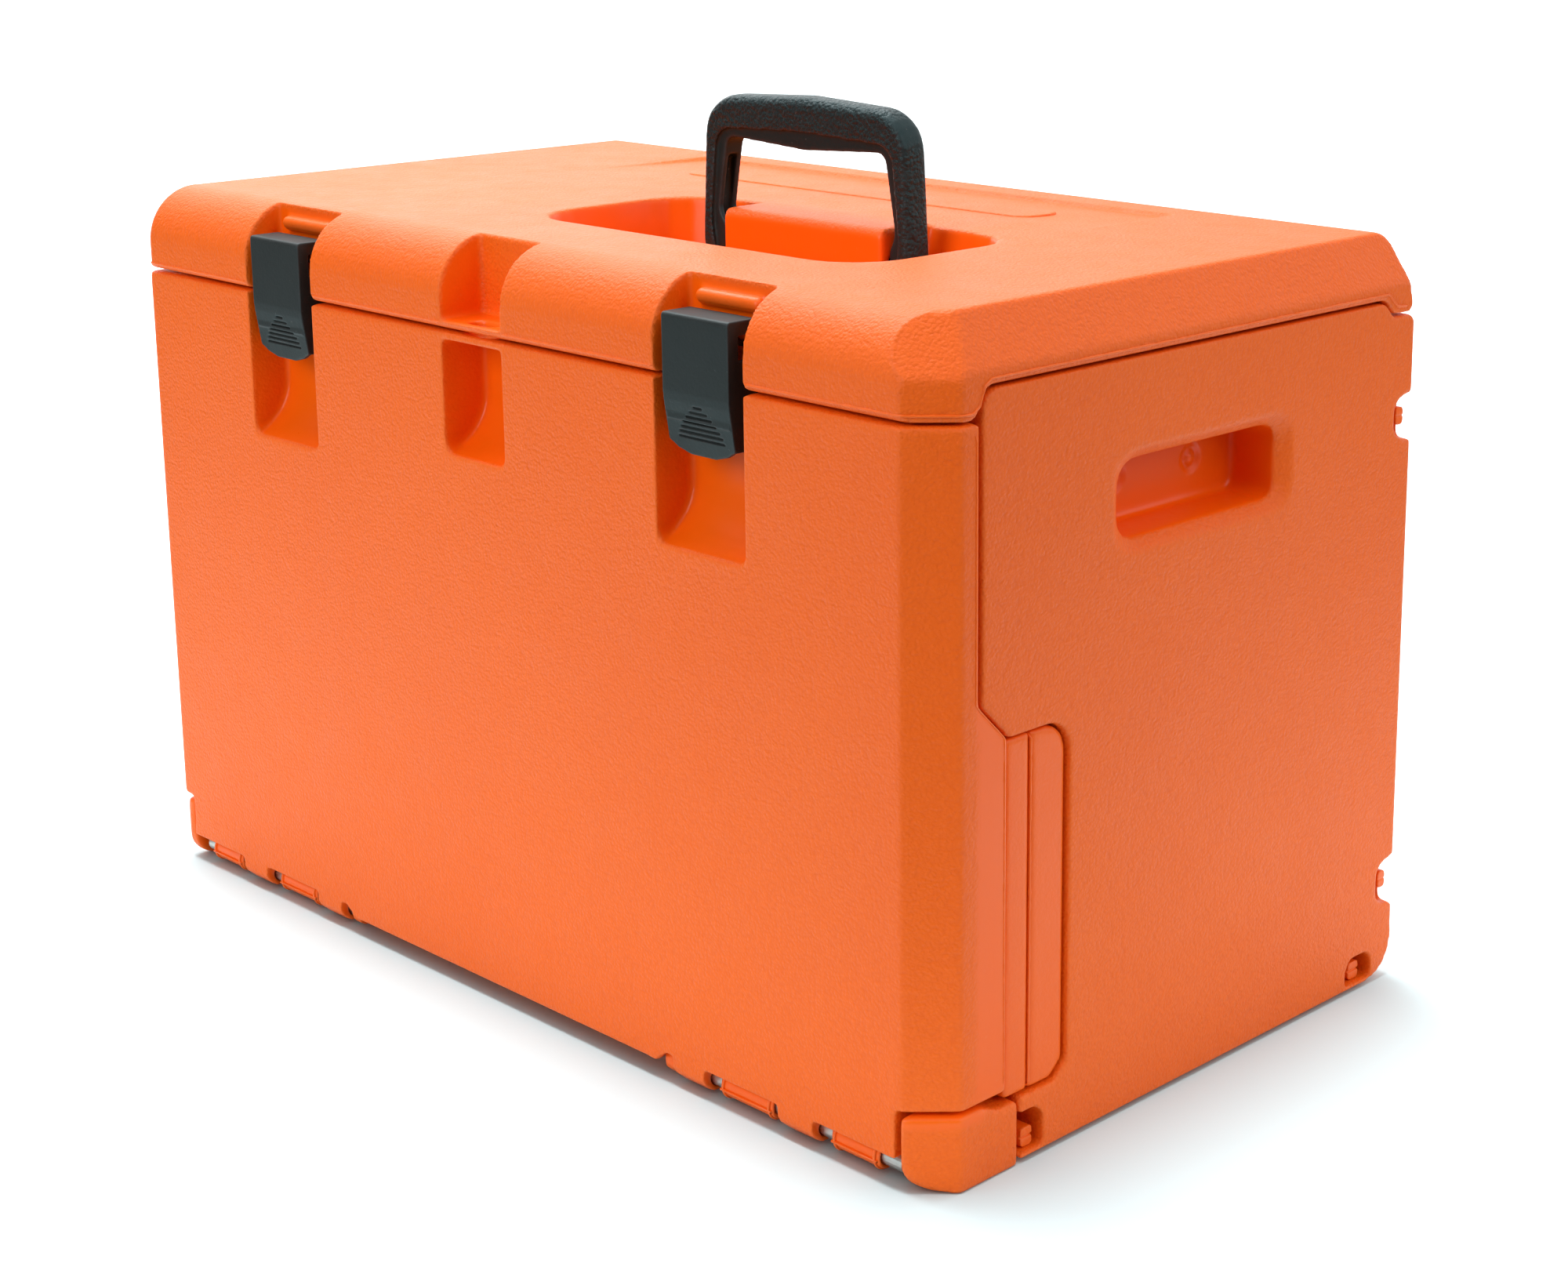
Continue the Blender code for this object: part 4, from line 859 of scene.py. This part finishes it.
def lid_parting_line(surface):
    """Bead round the lid a little above its lower edge, broken at the recesses."""
    level = LID_BOTTOM + 2.7
    high = level + 11.2
    pieces = []
    spans = ((-244.5, -164.6), (-113.4, -20.6), (20.6, 113.4), (164.6, 244.0))
    for index, (low, top) in enumerate(spans):
        corners = [(low, FRONT, level), (top, FRONT, level)]
        for side, reached in ((1, top), (-1, low)):
            if abs(reached) < 243.0:
                continue
            face = LID_END[side]
            turn_y = FRONT + (CHAMFER_Y if side > 0 else 3.0)
            tail = [
                (face, turn_y, level),
                (face, -124.5, level),
                (face, -121.0, level + 2.2),
                (face, -118.6, high - 2.2),
                (face, -115.0, high),
                (face, 124.5, high),
                (face, 131.0, 299.0),
                (face, 138.0, 298.4),
            ]
            corners = corners + tail if side > 0 else tail[::-1] + corners
        pieces.append(bead(f"lid_parting_line_{index + 1}", fine_path(corners), 0.55, surface))
    return pieces


def front_parting_line(surface):
    """Flash line up the front panel's rear edge at both ends."""
    pieces = []
    for side, name in ((1, "right"), (-1, "left")):
        x = END_FACE[side] + side * 0.5
        corners = [(x, -123.4, 286.5), (x, -122.6, 283.0)]
        if side > 0:
            corners += [(x, -122.6, 187.5), (x, -107.4, 172.0), (x, -107.0, 36.0)]
        else:
            corners += [(x, -122.6, 36.0)]
        pieces.append(bead(f"front_flash_line_{name}", fine_path(corners), 0.34, surface))
    return pieces


# ---------------------------------------------------------------- scabbard, pegs, rods


def make_scabbard():
    """Both halves of the bar cover and the seam between them."""
    for half in ("front", "rear"):
        shell = welded_copy(f"scabbard_{half}_shell", f"scabbard_{half}_half")
        soften(shell, 1.1, 4, 24000)
        dress(shell, ORANGE, "scabbard_body", even_gloss(0.75), (f"scabbard_{half}_half",))
    low, high = (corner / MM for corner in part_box("scabbard_front_half"))
    x, seam = high.x - 0.1, high.y + 0.2
    corners = [
        (x - 2.0, seam, low.z + 0.6),
        (x, seam, low.z + 2.4),
        (x, seam, high.z - 2.4),
        (x - 2.0, seam, high.z - 0.6),
        (x - 60.0, seam, high.z - 0.1),
    ]
    line = bead("scabbard_parting_line", fine_path(corners), 0.5)
    dress(line, ORANGE, "scabbard_body", even_gloss(1.0))


def make_pegs():
    """The eight locking pegs, with softened edges."""
    for name in ("right", "left"):
        for place in ("back_1", "back_2", "bottom_1", "bottom_2"):
            node_name = f"peg_{name}_{place}"
            peg = welded_copy(node_name + "_moulded", node_name)
            soften(peg, 0.35, 3, 5000)
            dress(peg, ORANGE, "case", even_gloss(0.7), (node_name,))


def finish_rods():
    """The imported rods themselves, with a small bevel at their ends."""
    for name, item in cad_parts.items():
        if "_rod_" not in name:
            continue
        item.data.materials.clear()
        item.data.materials.append(STEEL)
        bevel = item.modifiers.new("ends", "BEVEL")
        bevel.width = 0.4 * MM
        bevel.segments = 2
        bevel.limit_method = "ANGLE"
        bevel.angle_limit = math.radians(50)


# ---------------------------------------------------------------- latches


GROOVES = 7


def make_latch(name, middle):
    """Latch with finger grooves that get wider towards its foot."""
    latch = welded_copy(f"latch_{name}_moulded", f"latch_{name}")
    grooves = []
    for index in range(1, GROOVES + 1):
        half = 13.4 * math.sin(index * math.pi / 16)
        level = 280.9 - 2.05 * (index - 1)
        face = -146.0 + 3.6 * (284.0 - level) / 22.2
        centre = middle + 0.4
        outline = rounded(
            [
                (centre - half, level - 0.42, 0.41),
                (centre + half, level - 0.42, 0.41),
                (centre + half, level + 0.42, 0.41),
                (centre - half, level + 0.42, 0.41),
            ],
            4,
        )
        grooves.append(plate(f"groove_{index}", "Y", outline, -150.0, face + 0.9))
    combine(latch, "DIFFERENCE", grooves)
    soften(latch, 0.32, 3, 60000)
    dress(latch, BLACK_SATIN, f"latch_{name}_body", even_gloss(0.8), (f"latch_{name}",))


# ---------------------------------------------------------------- handle


def handle_outline(half):
    """Front view of the arch, from half(side): one side's (x, z, radius) corners top first."""
    return rounded(half(1) + half(-1)[::-1], 8)


def skin_half(side):
    """Outer skin of one half of the handle."""
    outside = HANDLE_MIDDLE + side * HANDLE_HALF_WIDTH
    return [
        (HANDLE_MIDDLE + side * 0.01, HANDLE_TOP, 0.0),
        (outside - side * 4.2, HANDLE_TOP - 2.8, 19.0),
        (outside, 318.0, 30.0),
        (outside, HANDLE_FOOT, 6.0),
        (outside - side * 9.0, HANDLE_FOOT, 4.0),
        (outside - side * 6.4, 324.0, 20.0),
        (outside - side * 10.6, 365.0, 11.0),
        (HANDLE_MIDDLE + side * 0.01, 367.2, 0.0),
    ]


def core_half(side):
    """Narrower core of one half of the handle, which reaches further inwards than the skin."""
    outside = HANDLE_MIDDLE + side * HANDLE_HALF_WIDTH
    leg = HANDLE_X + side * LEG_INSIDE
    return [
        (HANDLE_MIDDLE + side * 0.01, HANDLE_TOP - 3.2, 0.0),
        (outside - side * 7.0, HANDLE_TOP - 5.6, 16.0),
        (outside - side * 3.0, 318.0, 20.0),
        (outside - side * 3.0, HANDLE_FOOT + 0.4, 5.0),
        (leg, HANDLE_FOOT + 0.4, 2.0),
        (leg, 320.0, 2.5),
        (outside - side * 10.2, 327.0, 8.0),
        (outside - side * 16.2, 360.5, 5.0),
        (HANDLE_MIDDLE + side * 0.01, 357.8, 0.0),
    ]


def leg_channel(side):
    """Cutter for the hollow along the inner face of one leg."""
    outside = HANDLE_MIDDLE + side * HANDLE_HALF_WIDTH
    inner = HANDLE_X + side * (LEG_INSIDE - 6.0)
    corners = [
        (inner, 321.0, 0.0),
        (outside - side * 8.2, 321.0, 3.0),
        (outside - side * 9.8, 351.0, 3.0),
        (inner, 353.0, 0.0),
    ]
    return plate("leg_channel", "Y", rounded(corners), -2.6, 2.6)


def grip_slot():
    """Cutter for the slot under the grip."""
    corners = [
        (HANDLE_MIDDLE - 38.0, 350.0, 0.0),
        (HANDLE_MIDDLE + 38.0, 350.0, 0.0),
        (HANDLE_MIDDLE + 38.0, 361.2, 3.0),
        (HANDLE_MIDDLE, 359.4, 0.0),
        (HANDLE_MIDDLE - 38.0, 361.2, 3.0),
    ]
    return plate("grip_slot", "Y", rounded(corners), -1.2, 1.2)


def pivot_stub(side):
    """Round stub that turns in the lid's saddle."""
    start = (HANDLE_X + side * 44.0, 0.0, HANDLE_PIVOT_Z)
    end = (HANDLE_X + side * 52.0, 0.0, HANDLE_PIVOT_Z)
    return capsule("stub", start, end, 3.3)


def handle_shape(points):
    """Rounds the skin over the top of the grip and down the outside of the legs, and narrows the feet."""
    z = points[:, 2]
    lift = ramp(z, 352.0, HANDLE_TOP)
    across = np.abs(points[:, 1]) / HANDLE_HALF_DEPTH
    points[:, 2] = z - 3.0 * lift * across**4
    aside = points[:, 0] - HANDLE_MIDDLE
    outer = ramp(np.abs(aside), HANDLE_HALF_WIDTH - 7.0, HANDLE_HALF_WIDTH)
    points[:, 0] -= np.sign(aside) * 2.4 * outer * across**4
    feet = ramp(z, HANDLE_FOOT + 7.0, HANDLE_FOOT)
    points[:, 1] *= 1.0 - 0.28 * feet**2
    return points


def handle_gloss(points):
    """Smooth on the core, grained on the skin."""
    aside = np.abs(points[:, 0] - HANDLE_MIDDLE)
    deep = ramp(np.abs(points[:, 1]), HANDLE_HALF_DEPTH - 0.5, HANDLE_HALF_DEPTH - 0.9)
    inner_leg = ramp(aside, HANDLE_HALF_WIDTH - 3.2, HANDLE_HALF_WIDTH - 4.4)
    below = ramp(points[:, 2], HANDLE_TOP - 5.2, HANDLE_TOP - 6.4)
    return np.minimum(deep, np.minimum(inner_leg, below))


def make_handle():
    """Grained skin over a narrower core, hollowed inside, with a pivot stub in each foot."""
    low_y, high_y = HANDLE_LOW.y, HANDLE_HIGH.y
    skin = plate("carry_handle_moulded", "Y", handle_outline(skin_half), low_y, high_y)
    core = plate("handle_core", "Y", handle_outline(core_half), low_y + 1.9, high_y - 1.9)
    combine(skin, "UNION", [core])
    combine(skin, "DIFFERENCE", [leg_channel(1), leg_channel(-1), grip_slot()])
    combine(skin, "UNION", [pivot_stub(1), pivot_stub(-1)])
    soften(skin, 0.55, 9, 60000, None, handle_shape)
    dress(skin, BLACK_GRAIN, "handle_body", handle_gloss, ("carry_handle",))


# ---------------------------------------------------------------- label field


def make_label_bar():
    """Plain raised bar with rounded ends in the shallow field behind the handle."""
    low_y, high_y = 66.0, 92.0
    half, corner = 112.0, 9.0
    outline = rounded(
        [(-half, low_y, corner), (half, low_y, corner), (half, high_y, corner), (-half, high_y, corner)], 8
    )
    bar = plate("label_bar", "Z", outline, 324.5, 328.3)
    soften(bar, 0.8, 3, 12000)

    points = coordinates(bar.data)
    points[:, 2] -= 0.012 * (points[:, 1] - low_y)
    write_points(bar.data, points)
    return dress(bar, ORANGE, "lid_body")


# ---------------------------------------------------------------- stage


# Level directions: from the case to the viewer, and to the viewer's right
VIEW_SIDE = (0.745, -0.667, 0.0)
VIEW_RIGHT = (0.667, 0.745, 0.0)

# Name, place, aim, size and power of each soft light, and whether it lights the floor
LIGHTS = (
    ("overhead", (-0.60, 0.15, 1.55), (0.0, 0.0, 0.2), 1.2, 24.0, "ALL"),
    ("front_fill", (0.1, -2.2, 1.25), (0.0, 0.0, 0.15), 1.2, 26.0, "EXCLUDE"),
    ("end_fill", (2.1, 0.1, 1.5), (0.1, 0.0, 0.15), 1.0, 11.5, "EXCLUDE"),
    ("floor_light", (0.05, -0.05, 2.4), (0.05, -0.05, 0.0), 0.8, 66.0, "INCLUDE"),
)


def along(nodes, links, place, direction):
    """How far a place lies along a direction."""
    made = nodes.new("ShaderNodeVectorMath")
    made.operation = "DOT_PRODUCT"
    links.new(place, made.inputs[0])
    made.inputs[1].default_value = direction
    return made.outputs["Value"]


def fade(nodes, links, value, low, high, first, last):
    """first up to low, last from high on, smooth between."""
    made = nodes.new("ShaderNodeMapRange")
    made.interpolation_type = "SMOOTHSTEP"
    links.new(value, made.inputs["Value"])
    for name, number in (("From Min", low), ("From Max", high), ("To Min", first), ("To Max", last)):
        made.inputs[name].default_value = number
    return made.outputs["Result"]


def make_floor():
    """Pale floor: white round and behind the case, darker near the viewer and far to the sides, with a
    painted glow that grows far behind the case.
    """
    shape = bmesh.new()
    bmesh.ops.create_grid(shape, x_segments=1, y_segments=1, size=30.0)
    floor = link("floor", mesh_from("floor", shape))
    material, nodes, links = new_material("pale_floor")
    shader = nodes["Principled BSDF"]
    place = nodes.new("ShaderNodeTexCoord").outputs["Object"]
    ahead = along(nodes, links, place, VIEW_SIDE)
    sideways = math_node(nodes, links, "ABSOLUTE", along(nodes, links, place, VIEW_RIGHT))
    behind = math_node(nodes, links, "MAXIMUM", math_node(nodes, links, "MULTIPLY", ahead, -1.0), 0.0)
    wide = math_node(nodes, links, "MULTIPLY_ADD", behind, -0.45, sideways)
    near = fade(nodes, links, ahead, 0.38, 0.52, 1.0, 0.0)
    share = math_node(nodes, links, "MULTIPLY", near, fade(nodes, links, wide, 0.65, 1.05, 1.0, 0.0))
    # Painted light: the pale tone is tinted cyan to cancel the orange light that the case bounces onto the
    # floor.
    tone = colour_mix(nodes, links, share, (0.16, 0.16, 0.16), (0.62, 0.77, 0.80))
    links.new(tone, shader.inputs["Base Color"])
    # Painted light: the floor glows, faintly near the case and strongly from 1.6 m behind it.
    glow = math_node(nodes, links, "MULTIPLY", fade(nodes, links, behind, 0.5, 1.6, 0.03, 0.9), share)
    shader.inputs["Emission Color"].default_value = (1.0, 1.0, 1.0, 1.0)
    links.new(glow, shader.inputs["Emission Strength"])
    shader.inputs["Roughness"].default_value = 0.8
    shader.inputs["Specular IOR Level"].default_value = 0.1
    floor.data.materials.append(material)
    return floor


def make_room():
    """Soft white room, dark round the viewer."""
    world = bpy.data.worlds.new("studio")
    bpy.context.scene.world = world
    world.use_nodes = True
    nodes, links = world.node_tree.nodes, world.node_tree.links
    background = nodes["Background"]
    place = nodes.new("ShaderNodeTexCoord").outputs["Generated"]
    toward = along(nodes, links, place, VIEW_SIDE)
    left_front = along(nodes, links, place, (-0.3, -0.95, 0.0))
    up = along(nodes, links, place, (0.0, 0.0, 1.0))
    low_level = fade(nodes, links, toward, 0.10, 0.75, 1.05, 0.04)
    shade = fade(nodes, links, left_front, 0.05, 0.6, 1.0, 0.10)
    low_level = math_node(nodes, links, "MULTIPLY", low_level, shade)
    far_left = along(nodes, links, place, (-0.95, 0.30, 0.0))
    window = fade(nodes, links, far_left, 0.80, 0.97, 1.2, 3.2)
    low_level = math_node(nodes, links, "MULTIPLY", low_level, window)
    share = fade(nodes, links, up, 0.35, 0.8, 0.0, 1.0)
    gap = math_node(nodes, links, "SUBTRACT", 0.8, low_level)
    links.new(math_node(nodes, links, "MULTIPLY_ADD", gap, share, low_level), background.inputs["Strength"])
    background.inputs["Color"].default_value = (1.0, 1.0, 1.0, 1.0)


def make_lights(floor):
    """Square soft lights; two light only the case and one only the floor."""
    for name, place, aim, size, power, floor_share in LIGHTS:
        light = bpy.data.lights.new(name, "AREA")
        light.shape = "SQUARE"
        light.size = size
        light.energy = power
        lamp = bpy.data.objects.new(name, light)
        bpy.context.scene.collection.objects.link(lamp)
        lamp.location = place
        lamp.rotation_euler = (Vector(place) - Vector(aim)).to_track_quat("Z", "Y").to_euler()
        if floor_share != "ALL":
            lit = bpy.data.collections.new(name + "_linking")
            lit.objects.link(floor)
            lit.collection_objects[0].light_linking.link_state = floor_share
            lamp.light_linking.receiver_collection = lit


def make_camera():
    """Camera at a viewer's place in front of the right end, a little above the lid."""
    camera = bpy.data.cameras.new("camera")
    camera.sensor_width = 36.0
    camera.lens = 62.06
    camera.shift_x = -0.101
    camera.shift_y = -0.11375
    viewer = bpy.data.objects.new("camera", camera)
    bpy.context.scene.collection.objects.link(viewer)
    viewer.location = (0.8828, -0.7912, 0.4907)
    viewer.rotation_euler = (math.radians(76.75), 0.0, math.radians(43.72))
    bpy.context.scene.camera = viewer
    bpy.context.scene.view_settings.view_transform = "Standard"


make_lights(make_floor())
make_room()
make_camera()
front = make_front()
make_end("right", 1)
make_end("left", -1)
make_rear()
make_base()
make_knuckle_ribs()
lid = make_lid()
for line in lid_parting_line(lid):
    dress(line, ORANGE, "lid_body", even_gloss(0.6))
for line in front_parting_line(front):
    dress(line, ORANGE, "case", even_gloss(0.6))
make_label_bar()
make_scabbard()
make_pegs()
finish_rods()
for latch_name, latch_side in (("right", 1), ("left", -1)):
    make_latch(latch_name, latch_side * LATCH_X)
make_handle()
